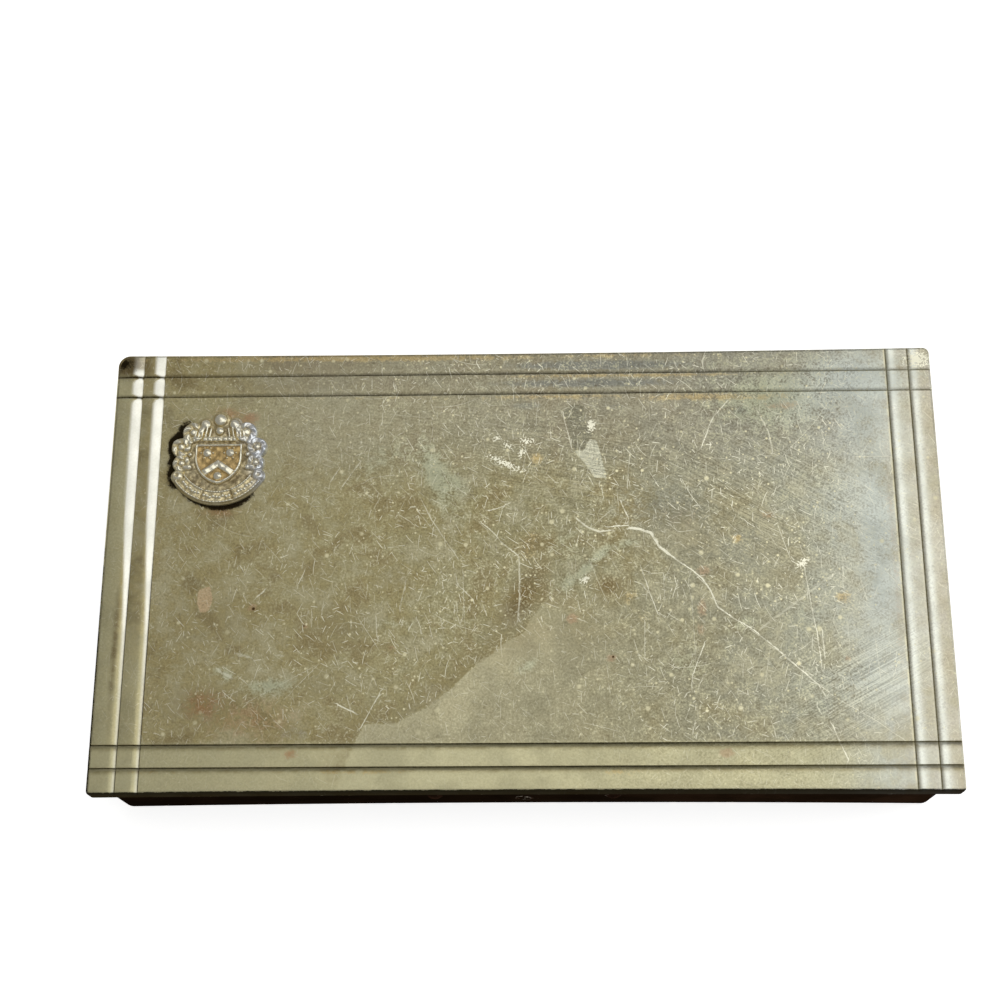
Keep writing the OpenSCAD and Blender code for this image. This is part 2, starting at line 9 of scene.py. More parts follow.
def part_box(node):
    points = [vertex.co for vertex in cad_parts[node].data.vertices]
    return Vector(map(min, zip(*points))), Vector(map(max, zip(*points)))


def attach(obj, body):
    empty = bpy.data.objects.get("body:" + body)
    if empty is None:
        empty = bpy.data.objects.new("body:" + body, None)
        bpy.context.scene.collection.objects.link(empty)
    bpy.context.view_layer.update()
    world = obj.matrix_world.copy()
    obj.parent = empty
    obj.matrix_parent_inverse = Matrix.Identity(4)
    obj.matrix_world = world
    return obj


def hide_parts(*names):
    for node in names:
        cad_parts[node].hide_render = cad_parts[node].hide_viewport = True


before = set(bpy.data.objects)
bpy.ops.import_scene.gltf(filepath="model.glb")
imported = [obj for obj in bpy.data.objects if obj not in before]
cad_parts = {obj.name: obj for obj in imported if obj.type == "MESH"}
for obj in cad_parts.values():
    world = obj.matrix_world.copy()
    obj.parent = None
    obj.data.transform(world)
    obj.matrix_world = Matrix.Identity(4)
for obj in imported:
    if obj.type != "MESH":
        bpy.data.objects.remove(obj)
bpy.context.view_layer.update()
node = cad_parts

# ---------------------------------------------------------------------------------------------
# The wall is one strip of thin iron sheet, bent round four corners and lapped at the back. Its
# top edge is rolled over a wire and its foot is turned in as a lip. Stoved dark brown japan
# covers it, rubbed through to the tinned iron on the roll and the foot.

MM = 0.001


def corners(name):
    """The lowest and the highest corner of a CAD node, in millimetres."""
    return [np.round(np.array(corner) / MM, 2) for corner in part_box(name)]


def middle(name):
    """The middle of a CAD node's box, in millimetres."""
    return np.round(np.mean(corners(name), axis=0), 2)


def smooth(low, high, value):
    """0 below low, 1 above high, eased between."""
    t = np.clip((value - low) / (high - low), 0.0, 1.0)
    return t * t * (3 - 2 * t)


def in_scene(name, data):
    made = bpy.data.objects.new(name, data)
    bpy.context.scene.collection.objects.link(made)
    return made


def keep_marks(mesh, marks):
    """Stores a number for every point of the mesh under each label."""
    for label, values in marks.items():
        kept = mesh.attributes.new(label, "FLOAT", "POINT")
        kept.data.foreach_set("value", np.asarray(values, np.float32))


def sheet_piece(name, points, faces, body, crease=38, **marks):
    """A mesh from points in millimetres, smooth apart from edges sharper than crease degrees."""
    mesh = bpy.data.meshes.new(name)
    mesh.from_pydata((np.asarray(points, float) * MM).tolist(), [], [tuple(f) for f in faces])
    work = bmesh.new()
    work.from_mesh(mesh)
    bmesh.ops.recalc_face_normals(work, faces=work.faces)
    for edge in work.edges:
        edge.smooth = len(edge.link_faces) == 2 and edge.calc_face_angle() < math.radians(crease)
    for face in work.faces:
        face.smooth = True
    work.to_mesh(mesh)
    work.free()
    keep_marks(mesh, marks)
    piece = in_scene(name, mesh)
    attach(piece, body)
    return piece


def strip_faces(rows, columns, start=0, close_rows=False, close_columns=False):
    """Quads of a grid of points kept row by row."""
    def point(r, c):
        return start + r % rows * columns + c % columns

    return [(point(r, c), point(r, c + 1), point(r + 1, c + 1), point(r + 1, c))
            for r in range(rows - (not close_rows)) for c in range(columns - (not close_columns))]


def rounded_path(length, depth, radius, spacing=2.0, turns=10):
    """Points and outward directions round a rounded rectangle, from the front left corner."""
    path = []
    for corner, (sx, sy) in enumerate([(1, -1), (1, 1), (-1, 1), (-1, -1)]):
        centre = np.array([sx * (length / 2 - radius), sy * (depth / 2 - radius)])
        start = math.radians(90 * corner - 90)
        before = (length if corner % 2 == 0 else depth) - 2 * radius
        out = np.array([math.cos(start), math.sin(start)])
        back = np.array([out[1], -out[0]])
        count = max(2, int(before / spacing))
        path += [(centre + out * radius + back * before * (1 - i / count), out)
                 for i in range(count)]
        for i in range(turns):
            a = start + math.radians(90) * i / turns
            out = np.array([math.cos(a), math.sin(a)])
            path.append((centre + out * radius, out))
    return np.array([p for p, _ in path]), np.array([n for _, n in path])


def tone(r, g, b):
    """A colour from its 0-255 screen values."""
    return tuple(((v / 255 + 0.055) / 1.055) ** 2.4 if v > 10 else v / 255 / 12.92
                 for v in (r, g, b)) + (1.0,)


class Bench:
    """Lays the nodes of one material or node group and joins them."""

    def __init__(self, tree):
        self.tree = tree

    def fill(self, made, sockets):
        """Joins or sets the inputs of a node."""
        for key, value in sockets.items():
            if isinstance(value, bpy.types.NodeSocket):
                self.tree.links.new(value, made.inputs[key])
            else:
                made.inputs[key].default_value = value

    def put(self, kind, sockets, **settings):
        """Lays a node and gives its outputs."""
        made = self.tree.nodes.new("ShaderNode" + kind)
        for key, value in settings.items():
            setattr(made, key, value)
        self.fill(made, sockets)
        return made.outputs

    def use(self, effect_tree, **values):
        return self.put("Group", values, node_tree=effect_tree)[0]

    def math(self, how, *terms, clamp=False):
        return self.put("Math", dict(enumerate(terms)), operation=how, use_clamp=clamp)[0]

    def times(self, a, b):
        return self.math("MULTIPLY", a, b)

    def minus(self, a, b):
        return self.math("SUBTRACT", a, b)

    def scaled(self, a, by, plus):
        """a times by, plus plus."""
        return self.math("MULTIPLY_ADD", a, by, plus)

    def most(self, a, b):
        return self.math("MAXIMUM", a, b)

    def span(self, value, low, high, to_low=0.0, to_high=1.0):
        """The value eased from low..high to to_low..to_high."""
        return self.put("MapRange", {"Value": value, "From Min": low, "From Max": high,
                                     "To Min": to_low, "To Max": to_high},
                        interpolation_type="SMOOTHSTEP")[0]

    def blend(self, share, a, b, how="MIX"):
        a, b = (tone(*shade) if isinstance(shade, tuple) else shade for shade in (a, b))
        return self.put("Mix", {0: share, 6: a, 7: b}, data_type="RGBA", blend_type=how)[2]

    def coats(self, colour, *coats):
        """Lays shades over a colour one after another, each by its mask times its strength."""
        for mask, strength, shade in coats:
            share = mask if strength == 1 else self.times(mask, strength)
            colour = self.blend(share, colour, shade)
        return colour

    def mark(self, label):
        """A number kept on the mesh."""
        return self.put("Attribute", {}, attribute_name=label)["Fac"]

    def place(self):
        """Where a point lies on the object, in millimetres."""
        metres = self.put("TexCoord", {})["Object"]
        return self.put("VectorMath", {0: metres, 3: 1000.0}, operation="SCALE")[0]

    def moved(self, place, seed):
        """The place moved by a distance that depends on the seed."""
        return self.put("VectorMath", {0: seed, 1: (31.7, 23.9, 17.3), 2: place},
                        operation="MULTIPLY_ADD")[0]

    def axes(self, place):
        return self.put("SeparateXYZ", {0: place})

    def cover(self, colour, height, strength=0.5, relief=0.03, **others):
        """Gives the surface its colour, a relief in millimetres and other changing values."""
        bump = self.put("Bump", {"Strength": strength, "Distance": relief * MM, "Height": height})
        self.fill(self.tree.nodes["Principled BSDF"],
                  {"Base Color": colour, "Normal": bump[0], **others})


def finish(name, metallic=0.0, roughness=0.5, coat=0.0, coat_roughness=0.2, specular=0.5):
    """A new material and its bench."""
    material = bpy.data.materials.new(name)
    material.use_nodes = True
    bench = Bench(material.node_tree)
    bench.fill(material.node_tree.nodes["Principled BSDF"], {
        "Metallic": metallic, "Roughness": roughness, "Coat Weight": coat,
        "Coat Roughness": coat_roughness, "Specular IOR Level": specular})
    return material, bench


def effect(name, **inputs):
    """A node group with number inputs and one mask: its bench, its inputs and what ends it."""
    tree = bpy.data.node_groups.new(name, "ShaderNodeTree")
    for key, value in inputs.items():
        socket = tree.interface.new_socket(key, in_out="INPUT", socket_type="NodeSocketFloat")
        socket.default_value = value
    tree.interface.new_socket("Mask", in_out="OUTPUT", socket_type="NodeSocketFloat")
    given = tree.nodes.new("NodeGroupInput")
    result = tree.nodes.new("NodeGroupOutput")
    return Bench(tree), given.outputs, lambda mask: tree.links.new(mask, result.inputs[0]) and tree


# Soft cloudiness: patches of Size millimetres, cut between Low and High
bench, given, done = effect("cloudiness", Size=10.0, Seed=0.0, Detail=4.0, Low=0.3, High=0.7)
cloud = bench.put("TexNoise", {
    "Vector": bench.moved(bench.place(), given["Seed"]), "Detail": given["Detail"],
    "Roughness": 0.6, "Scale": bench.math("DIVIDE", 1.0, given["Size"])})["Fac"]
cloudiness = done(bench.span(cloud, given["Low"], given["High"]))

# Dots: one in each cell of Pitch millimetres, of random size up to Size, kept by Share
bench, given, done = effect("dots", Pitch=3.0, Size=0.2, Share=0.6, Seed=0.0)
cell = bench.put("TexVoronoi", {"Vector": bench.moved(bench.place(), given["Seed"]),
                                "Scale": bench.math("DIVIDE", 1.0, given["Pitch"])})
chance = bench.put("SeparateColor", {"Color": cell["Color"]})
reach = bench.times(bench.math("DIVIDE", given["Size"], given["Pitch"]),
                    bench.math("POWER", chance["Green"], 2.0))
dot = bench.span(cell["Distance"], reach, bench.times(reach, 0.4))
dots = done(bench.times(dot, bench.math("LESS_THAN", chance["Red"], given["Share"])))

# Hairline rubs along one direction: Angle in radians, Length and Width in millimetres
bench, given, done = effect("rubs", Angle=0.0, Length=20.0, Width=0.3, Low=0.55, High=0.7, Seed=0.0)
turned = bench.axes(bench.put("VectorRotate", {"Vector": bench.place(), "Angle": given["Angle"]},
                              rotation_type="Z_AXIS")[0])
stretched = bench.put("CombineXYZ", {
    i: bench.math("DIVIDE", turned[i], given[size])
    for i, size in enumerate(("Length", "Width", "Width"))})[0]
rub = bench.put("TexNoise", {"Vector": bench.moved(stretched, given["Seed"]), "Scale": 1.0,
                             "Detail": 2.0})["Fac"]
rubs = done(bench.span(rub, given["Low"], given["High"]))

japan, bench = finish("japanned_tin", roughness=0.55, coat_roughness=0.28, specular=0.0)
grime = bench.use(cloudiness, Size=14.0, Seed=2.0, Detail=5.0, Low=0.35)
chips = bench.use(cloudiness, Size=1.1, Seed=5.0, Low=0.0, High=1.0)
bared = bench.span(bench.math("ADD", bench.mark("wear"), bench.times(chips, 0.9)), 1.02, 1.12)
scratched = bench.use(rubs, Angle=0.25, Length=9.0, Width=0.16, Low=0.69, High=0.74, Seed=3.0)
pits = bench.use(dots, Pitch=2.6, Size=0.35, Share=0.35, Seed=1.0)
rusted = bench.use(cloudiness, Size=2.4, Seed=8.0, Detail=6.0, Low=0.5, High=0.68)
# It is browner where it is grimy, and lighter brown towards the right as painted light
browner_and_lit = bench.times(bench.span(grime, 0.0, 1.0, 0.35, 1.0),
                      bench.span(bench.axes(bench.place())[0], -20.0, 85.0, 0.25, 1.0))
metal = bench.blend(rusted, (132, 122, 104), (104, 56, 30))
colour = bench.coats(bench.blend(browner_and_lit, (14, 9, 4), (44, 30, 20)), (scratched, 0.5, (78, 56, 40)),
                     (bared, 1, metal), (pits, 0.8, (96, 54, 32)))
orange_peel = bench.use(cloudiness, Size=0.9, Seed=4.0, Detail=2.0, Low=0.1, High=0.9)
height = bench.minus(bench.times(orange_peel, 0.35),
                    bench.math("ADD", bared, bench.times(scratched, 0.4)))
bench.cover(colour, height, relief=0.04, Roughness=bench.scaled(grime, 0.16, 0.5),
            Metallic=bench.times(bared, bench.math("SUBTRACT", 0.85, rusted, clamp=True)),
            **{"Coat Weight": bench.times(bench.mark("gloss"), 0.35)})

wall_low, wall_high = corners("body_wall")
wall_length, wall_depth, wall_top = wall_high - wall_low
wall_radius, wall_sheet, roll_radius, lip_width, foot_bend = 2.4, 0.5, 0.9, 1.4, 0.4
front, inside_back, roll_height = wall_low[1], wall_high[1] - wall_sheet, wall_top - roll_radius

# The strip's section: the foot's bend, up the outside, round the roll and back, down, and the lip
section = [(foot_bend * (1 - math.sin(a)), foot_bend * (1 - math.cos(a)))
           for a in np.radians([0, 22, 45, 68, 90])]
section += [(0.0, z) for z in (1.2, 2.4, 3.6, 4.8, 6.5, 8.5, 10.5, 12.5, 14.5, 16.5, 18.5, 20.2)]
for r, degrees in ((roll_radius, range(0, 281, 20)),
                   (roll_radius - wall_sheet, range(276, -1, -46))):
    section += [(roll_radius - r * math.cos(a), roll_height + r * math.sin(a))
                for a in np.radians(degrees)]
section += [(wall_sheet, z) for z in (18.5, 14.5, 10.5, 6.5, 4.8, 3.6, 2.4, 1.2, wall_sheet)]
section += [(lip_width - 0.1, wall_sheet), (lip_width, wall_sheet / 2), (lip_width - 0.1, 0.0)]
section = np.array(section)

path, outward = rounded_path(wall_length, wall_depth, wall_radius)
plan = path[:, None, :] - outward[:, None, :] * section[None, :, :1]
levels = np.broadcast_to(section[None, :, 1], plan.shape[:2])
# The foot of the front is pushed in by half a millimetre between its corners
between = 1 - (plan[..., 0] / (wall_length / 2)) ** 2
plan[..., 1] += 0.5 * between * smooth(5.0, 1.0, levels) * (plan[..., 1] < front + 8.5)
wall_points = np.concatenate([plan, levels[..., None]], axis=2).reshape(-1, 3)
# Shallow dents, except in the roll and the foot
dent_depth, dent_size = 0.05, 26.0
dents = dent_depth * np.array([noise.noise(Vector(p) / dent_size + Vector((7.3, 3.1, 5.7)))
                               for p in wall_points])
dents *= smooth(20.5, 18.0, wall_points[:, 2]) * smooth(0.4, 2.0, wall_points[:, 2])
wall_points[:, :2] += np.repeat(outward, len(section), axis=0) * dents[:, None]
wall_faces = strip_faces(len(path), len(section), close_rows=True, close_columns=True)
body_wall = sheet_piece("japanned_wall", wall_points, wall_faces, "case")

# Keyhole in line with the lock's post: a round hole with a slot below, cut with a thin edge
key_height, key_radius, slot_half, slot_drop = middle("key_post")[2], 1.7, 0.765, 4.08
keyhole = [(x, key_height - slot_drop) for x in (-slot_half, slot_half)]
keyhole += [(key_radius * math.cos(a), key_height + key_radius * math.sin(a))
            for a in np.radians(np.linspace(-63, 243, 40))]
count = len(keyhole)
cutter_mesh = bpy.data.meshes.new("key_cutter")
cutter_mesh.from_pydata(
    [(x * MM, y * MM, z * MM) for y in (front - 2.5, front + 1.5) for x, z in keyhole], [],
    [list(range(count))[::-1], list(range(count, 2 * count))]
    + [(i, (i + 1) % count, count + (i + 1) % count, count + i) for i in range(count)])
cutter = in_scene("key_cutter", cutter_mesh)
cut = body_wall.modifiers.new("keyhole", "BOOLEAN")
cut.operation, cut.object, cut.solver = "DIFFERENCE", cutter, "EXACT"
bpy.context.view_layer.update()
body_wall.data = bpy.data.meshes.new_from_object(
    body_wall.evaluated_get(bpy.context.evaluated_depsgraph_get()))
body_wall.modifiers.clear()
bpy.data.objects.remove(cutter)

# Rubbed on the roll, the foot, the corners and round the keyhole. The front has lost its gloss.
x, y, z = (np.array([v.co for v in body_wall.data.vertices]) / MM).T
from_corner = (wall_length / 2 - abs(x)) + (wall_depth / 2 - abs(y))
from_top, from_keyhole = z - wall_top, np.hypot(x, z - key_height)
rubbed = (0.22 + 0.55 * np.exp(-(from_top / 0.45) ** 2) + 0.42 * np.exp(-(z / 0.7) ** 2)
          + 0.25 * smooth(3.0, 0.5, from_corner)
          + 0.3 * smooth(3.6, 1.6, from_keyhole) * (y < front + 3.5))
keep_marks(body_wall.data, {"wear": rubbed, "gloss": smooth(front + 0.2, front + 2.0, y)})
body_wall.data.materials.append(japan)
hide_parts("body_wall")

# The lap of the strip's two ends, sweated together with solder inside the back. It runs from the
# base up to the roll.
seam_profile = [(-2.5, 0.02), (-2.35, 0.38), (-2.1, 0.5), (-1.0, 0.53), (0.2, 0.5), (1.6, 0.54),
                (2.1, 0.48), (2.4, 0.34), (2.5, 0.02)]
base_top = corners("base_pan")[1][2]
seam_rows = np.linspace(base_top + 0.05, roll_height - roll_radius, 24)
seam_points = [(x + 0.08 * math.sin(1.7 * i), inside_back - thickness, z)
               for i, z in enumerate(seam_rows) for x, thickness in seam_profile]
width = len(seam_profile)
ends = len(seam_points) - width
seam_faces = strip_faces(len(seam_rows), width)
seam_faces += [list(range(width)), list(range(ends, len(seam_points)))]
seam_faces += [(r, r + width, r + 2 * width - 1, r + width - 1) for r in range(0, ends, width)]
seam = sheet_piece("wall_seam", seam_points, seam_faces, "case",
                   wear=[0.5 + 0.1 * math.sin(z) for _, _, z in seam_points])
seam.data.materials.append(japan)

# ---------------------------------------------------------------------------------------------
# The base is a shallow pan of the same sheet, dropped in from above on to the turned-in lip and
# held there by its own tight fit. It is japanned with the wall; coins have rubbed its floor.


def dress(material, *names):
    """Gives CAD nodes a finish in place of their plain colour."""
    for name in names:
        node[name].data.materials.clear()
        node[name].data.materials.append(material)


floor_paint, bench = finish("japanned_floor", coat=0.3, coat_roughness=0.35)
stain = bench.use(cloudiness, Size=22.0, Seed=11.0, Detail=6.0, Low=0.35)
coin_rub = bench.use(cloudiness, Size=9.0, Seed=13.0, Detail=5.0, Low=0.56, High=0.8)
slides = bench.use(rubs, Angle=0.1, Length=24.0, Width=0.22, Low=0.62, High=0.72, Seed=6.0)
cross_slides = bench.use(rubs, Angle=1.3, Length=14.0, Width=0.2, Low=0.66, High=0.74, Seed=7.0)
rust_dots = bench.use(dots, Pitch=3.4, Size=0.8, Share=0.4, Seed=9.0)
rubbed = bench.most(bench.times(coin_rub, 0.45), bench.times(bench.most(slides, cross_slides), 0.5))
colour = bench.coats(bench.blend(stain, (46, 30, 20), (80, 52, 34)), (rubbed, 1, (126, 108, 88)),
                     (rust_dots, 0.75, (112, 60, 34)))
orange_peel = bench.use(cloudiness, Size=1.2, Seed=14.0, Detail=3.0, Low=0.2, High=0.8)
bench.cover(colour, bench.minus(orange_peel, bench.times(rubbed, 1.2)), relief=0.04,
            Metallic=bench.times(rubbed, 0.7), Roughness=bench.span(stain, 0.0, 1.0, 0.38, 0.56))
dress(floor_paint, "base_pan")

# ---------------------------------------------------------------------------------------------
# Bright drawn steel: the wire inside the rolled edge, and the lock's post and pins, which are
# riveted in. They were left bare and oiled, and have gone grey with a little rust in the pores.


def worked_metal(name, light, dark, roughness, seed, rust=0.5):
    """Plain metal with drawing lines, dull patches and rust."""
    made, bench = finish(name, metallic=0.95, roughness=roughness)
    dull = bench.use(cloudiness, Size=3.5, Seed=seed, Detail=6.0, High=0.72)
    grain = bench.use(rubs, Length=6.0, Width=0.12, Low=0.4, High=0.65, Seed=seed + 1)
    bloom = bench.use(cloudiness, Size=1.6, Seed=seed + 2, Detail=7.0, Low=0.56, High=0.74)
    spots = bench.use(dots, Pitch=1.1, Size=0.4, Share=0.4, Seed=seed + 3)
    rusty = bench.times(bench.most(bloom, spots), rust)
    colour = bench.coats(bench.blend(dull, light, dark), (grain, 0.3, (208, 205, 196)),
                         (rusty, 1, (122, 70, 42)))
    height = bench.minus(bench.times(rusty, 0.8), bench.times(grain, 0.4))
    rough = bench.span(dull, 0.0, 1.0, roughness - 0.08, roughness + 0.1)
    bench.cover(colour, height, Roughness=bench.math("ADD", rough, bench.times(rusty, 0.3)),
                Metallic=bench.minus(0.95, bench.times(rusty, 0.8)))
    return made


oiled_steel = worked_metal("oiled_steel", (150, 148, 142), (98, 94, 88), 0.36, 21.0)
dress(oiled_steel, "rim_wire", "key_post", "bolt_guide_pins")

# ---------------------------------------------------------------------------------------------
# The till lock: a folded steel case riveted behind the keyhole, and inside it the bolt, a bar
# that slides on two collared pins under a bowed leaf spring. The bolt is hard brass.

dress(worked_metal("lock_case_steel", (128, 124, 116), (84, 78, 70), 0.44, 27.0, 0.7), "lock_case")
dress(worked_metal("blued_spring", (92, 98, 116), (54, 56, 70), 0.28, 33.0, 0.2), "bolt_spring")
dress(worked_metal("bolt_brass", (196, 164, 96), (142, 110, 58), 0.33, 36.0, 0.15), "lock_bolt")
rivet_paint, bench = finish("rivet_japan", roughness=0.6, specular=0.0)
bared = bench.use(cloudiness, Size=0.8, Seed=41.0, Detail=5.0, Low=0.6)
shade = bench.use(cloudiness, Size=2.0, Seed=42.0)
colour = bench.blend(bared, bench.blend(shade, (28, 18, 12), (52, 34, 24)), (138, 126, 106))
bench.cover(colour, shade, strength=0.4, Metallic=bench.times(bared, 0.8))
dress(rivet_paint, "lock_rivets")

# ---------------------------------------------------------------------------------------------
# Two butt hinges of plated sheet, their knuckles rolled round a steel pin. The body leaves are
# riveted outside the back wall; the lid leaves are soldered inside the lid's skirt.

hinge_plate = worked_metal("plated_hinge", (166, 160, 128), (116, 106, 76), 0.4, 51.0, 0.55)
dress(hinge_plate, "hinge_body_leaf_left", "hinge_body_leaf_right", "hinge_lid_leaf_left",
      "hinge_lid_leaf_right", "hinge_rivets")
dress(oiled_steel, "hinge_pin_left", "hinge_pin_right")

# ---------------------------------------------------------------------------------------------
# The lid is one plated pressing. Pairs of lines run along all four edges and off its sides, each
# a steep step towards the middle and a slope towards the edge. Its skirt is hemmed inside at the
# front and ends. The plate has tarnished to olive, darkest at the left, and is scratched all over.
# Its paler right side is partly painted sheen, and its skirt is painted dark as shade.

lid_low, lid_high = corners("lid_pressing")
skirt_foot, lid_top = lid_low[2], lid_high[2]
lid_sheet, hem, bend = 0.4, 0.4, 0.6
flat_x, flat_y, _ = lid_high - bend
step_width = 0.14
# Each line: its steep step, the side its slope lies on, the slope's curve, the width of its dirt
left_lines = [(inset - lid_high[0], -1, 2.0, 0.1) for inset in (5.45, 9.85)]
right_lines = [(lid_high[0] - inset, 1, 3.2, 0.15) for inset in (8.95, 4.55)]
front_lines = [(inset - lid_high[1], -1, 2.4, 0.1) for inset in (5.0, 9.4)]
back_lines = [(lid_high[1] - inset, 1, 2.4, 0.12) for inset in (9.4, 5.0)]
lines_x, lines_y = left_lines + right_lines, front_lines + back_lines
# Radius of the flat's corners, inside the bend: front left, front right, back right, back left
corner_radii = {(-1, -1): 0.25, (1, -1): 0.25, (1, 1): 0.7, (-1, 1): 1.8}


def mesh_lines(half, lines, spacing=0.7):
    """Positions of the grid lines along one axis: close at the pressed lines and the edges."""
    offsets = [-0.6, -0.35, -0.2, -0.14, -0.1, -0.05, 0, 0.06, 0.14, 0.24, 0.36, 0.5, 0.7, 0.9,
               1.15, 1.4, 1.7, 2.0, 2.4]
    kept = {round(step + side * o, 4) for step, side, *_ in lines for o in offsets}
    for inset in (0, 0.09, 0.17, 0.25, 0.45, 0.7, 1.1, 1.45, 1.8, 2.3):
        kept |= {round(half - inset, 4), round(inset - half, 4)}
    kept = sorted(kept)
    filled = []
    for a, b in zip(kept, kept[1:]):
        count = max(1, math.ceil((b - a) / spacing))
        filled += [a + (b - a) * i / count for i in range(count)]
    return np.array(filled + [kept[-1]])


def pressed(across, lines, slope_width):
    """Depth of the pressed lines at each distance across them, from 0 to 1."""
    depth = np.zeros_like(across)
    for step, side, curve, _ in lines:
        out = (across - step) * side
        rise = np.clip(1 - out / slope_width, 0, 1) ** curve
        depth = np.maximum(depth, np.where(out < 0, smooth(-step_width, 0.0, out), rise))
    return depth


def near(across, lines, offset, width=None):
    """Nearness to a place beside each step, from 0 to 1."""
    return np.max([np.exp(-(((across - step) * side - offset) / (width or own)) ** 2)
                   for step, side, _, own in lines], axis=0)


def pillow(across, lines, half):
    """The strips between the lines belly up a little."""
    edges = sorted([-half] + [line[0] for line in lines] + [half])
    swell = np.zeros_like(across)
    for a, b in zip(edges, edges[1:]):
        if b - a < 8:
            t = np.clip((across - a) / (b - a), 0, 1)
            swell = np.maximum(swell, 4 * t * (1 - t))
    return swell


grid_x, grid_y = np.meshgrid(mesh_lines(flat_x, lines_x), mesh_lines(flat_y, lines_y))
wide, deep = grid_x.copy(), grid_y.copy()
for (sx, sy), radius in corner_radii.items():
    u = (sx * grid_x - (flat_x - radius)) / radius
    v = (sy * grid_y - (flat_y - radius)) / radius
    inside = (u > 0) & (v > 0)
    u, v = np.clip(u, 0, 1), np.clip(v, 0, 1)
    wide = np.where(inside, sx * (flat_x - radius + radius * u * np.sqrt(1 - v * v / 2)), wide)
    deep = np.where(inside, sy * (flat_y - radius + radius * v * np.sqrt(1 - u * u / 2)), deep)

wave = np.array([[noise.noise(Vector((x / 34, y / 26, 3.0)))
                  + 0.4 * noise.noise(Vector((x / 9, y / 9, 8.0)))
                  for x, y in zip(xr, yr)] for xr, yr in zip(grid_x, grid_y)])
# The left pair has a wider slope towards the back, and is pinched where it crosses the back pair
slope_x = np.where(grid_x < 0, 1.35 + 0.95 * smooth(-38, 30, grid_y), 1.5)
pinch = 1 - 0.55 * near(grid_y, back_lines, 0.0, 0.4) - 0.3 * smooth(42.5, 44, grid_y)
drop_x = (np.where(grid_x < 0, 0.42, 0.24) * (0.9 + 0.1 * smooth(-40, 30, grid_y))
          * (1 + 0.12 * wave) * pinch)
drop_y = np.where(grid_y < 0, 0.36, 0.26) * (1 + 0.15 * wave)
lines_cut = drop_x * pressed(grid_x, lines_x, slope_x) + drop_y * pressed(grid_y, lines_y, 1.3)
belly = 0.05 * np.maximum(pillow(grid_x, lines_x, flat_x), pillow(grid_y, lines_y, flat_y))
corner_bend = 0.32 * smooth(5.5, 0.5, np.hypot(grid_x + flat_x, grid_y - flat_y))
heights = lid_top - 0.03 + belly - lines_cut + 0.035 * wave - corner_bend
# The long edges are drawn in a little between the corners
bow = 1 - (grid_x / lid_high[0]) ** 2
deep = deep + 0.3 * bow * smooth(-39, -44, grid_y) - 0.34 * bow * smooth(39, 44, grid_y)

top = np.stack([wide, deep, heights], axis=-1)
row_count, column_count = grid_x.shape
border = np.array([(0, c) for c in range(column_count)]
                  + [(r, column_count - 1) for r in range(1, row_count)]
                  + [(row_count - 1, c) for c in range(column_count - 2, -1, -1)]
                  + [(r, 0) for r in range(row_count - 2, 0, -1)])
at_border = tuple(border.T)
edge, edge_cut = top[at_border], (lines_cut + corner_bend)[at_border]
away = []
for r, c in border:
    x, y = grid_x[r, c], grid_y[r, c]
    radius = corner_radii[(1 if x > 0 else -1, 1 if y > 0 else -1)]
    u, v = max(0.0, abs(x) - (flat_x - radius)), max(0.0, abs(y) - (flat_y - radius))
    if u > 0 and v > 0:
        centre = [math.copysign(flat_x - radius, x), math.copysign(flat_y - radius, y)]
        out = top[r, c, :2] - centre
    elif u >= radius - 1e-6:
        out = np.array([math.copysign(1, x), 0.0])
    else:
        out = np.array([0.0, math.copysign(1, y)])
    away.append(out / np.linalg.norm(out))
away = np.array(away)

# Rings of points from the flat's edge: the bend, down the skirt, the fold, and up inside again
rings = []


def ring(reach, level):
    rings.append(np.column_stack([edge[:, :2] + away * np.reshape(reach, (-1, 1)),
                                  np.broadcast_to(level, len(edge))]))


bend_rings = 5
for a in np.radians([18, 36, 54, 72, 90]):
    ring(bend * math.sin(a),
         edge[:, 2] + edge_cut * (1 - math.cos(a) ** 2) - bend * (1 - math.cos(a)))
for level in (22.9, 22.3, 21.7, 21.2):
    ring(bend, level)
hemmed = smooth(0.6, 0.1, away[:, 1]) * hem
fold = lid_sheet / 2 + hemmed / 2
for a in np.radians([0, 30, 60, 90, 120, 150, 180]):
    ring(bend - fold + fold * math.cos(a), skirt_foot + fold - fold * math.sin(a))
for share, level in ((1.0, 21.5), (0.5, 21.62), (0.0, 21.68), (0.0, 22.4), (0.0, 23.2)):
    ring(bend - lid_sheet - hemmed * share, level)
under = top - [0, 0, lid_sheet]
lid_points = np.concatenate([top.reshape(-1, 3)] + rings + [under.reshape(-1, 3)])
flat_count, around = row_count * column_count, len(border)
under_start = flat_count + len(rings) * around
last_ring = under_start - around
lid_faces = strip_faces(row_count, column_count)
lid_faces += [f[::-1] for f in strip_faces(row_count, column_count, start=under_start)]
lid_faces += strip_faces(len(rings), around, start=flat_count, close_columns=True)
rim = [int(r * column_count + c) for r, c in border]
for i, j in zip(range(around), list(range(1, around)) + [0]):
    lid_faces.append((rim[i], rim[j], flat_count + j, flat_count + i))
    lid_faces.append((last_ring + i, last_ring + j, under_start + rim[j], under_start + rim[i]))

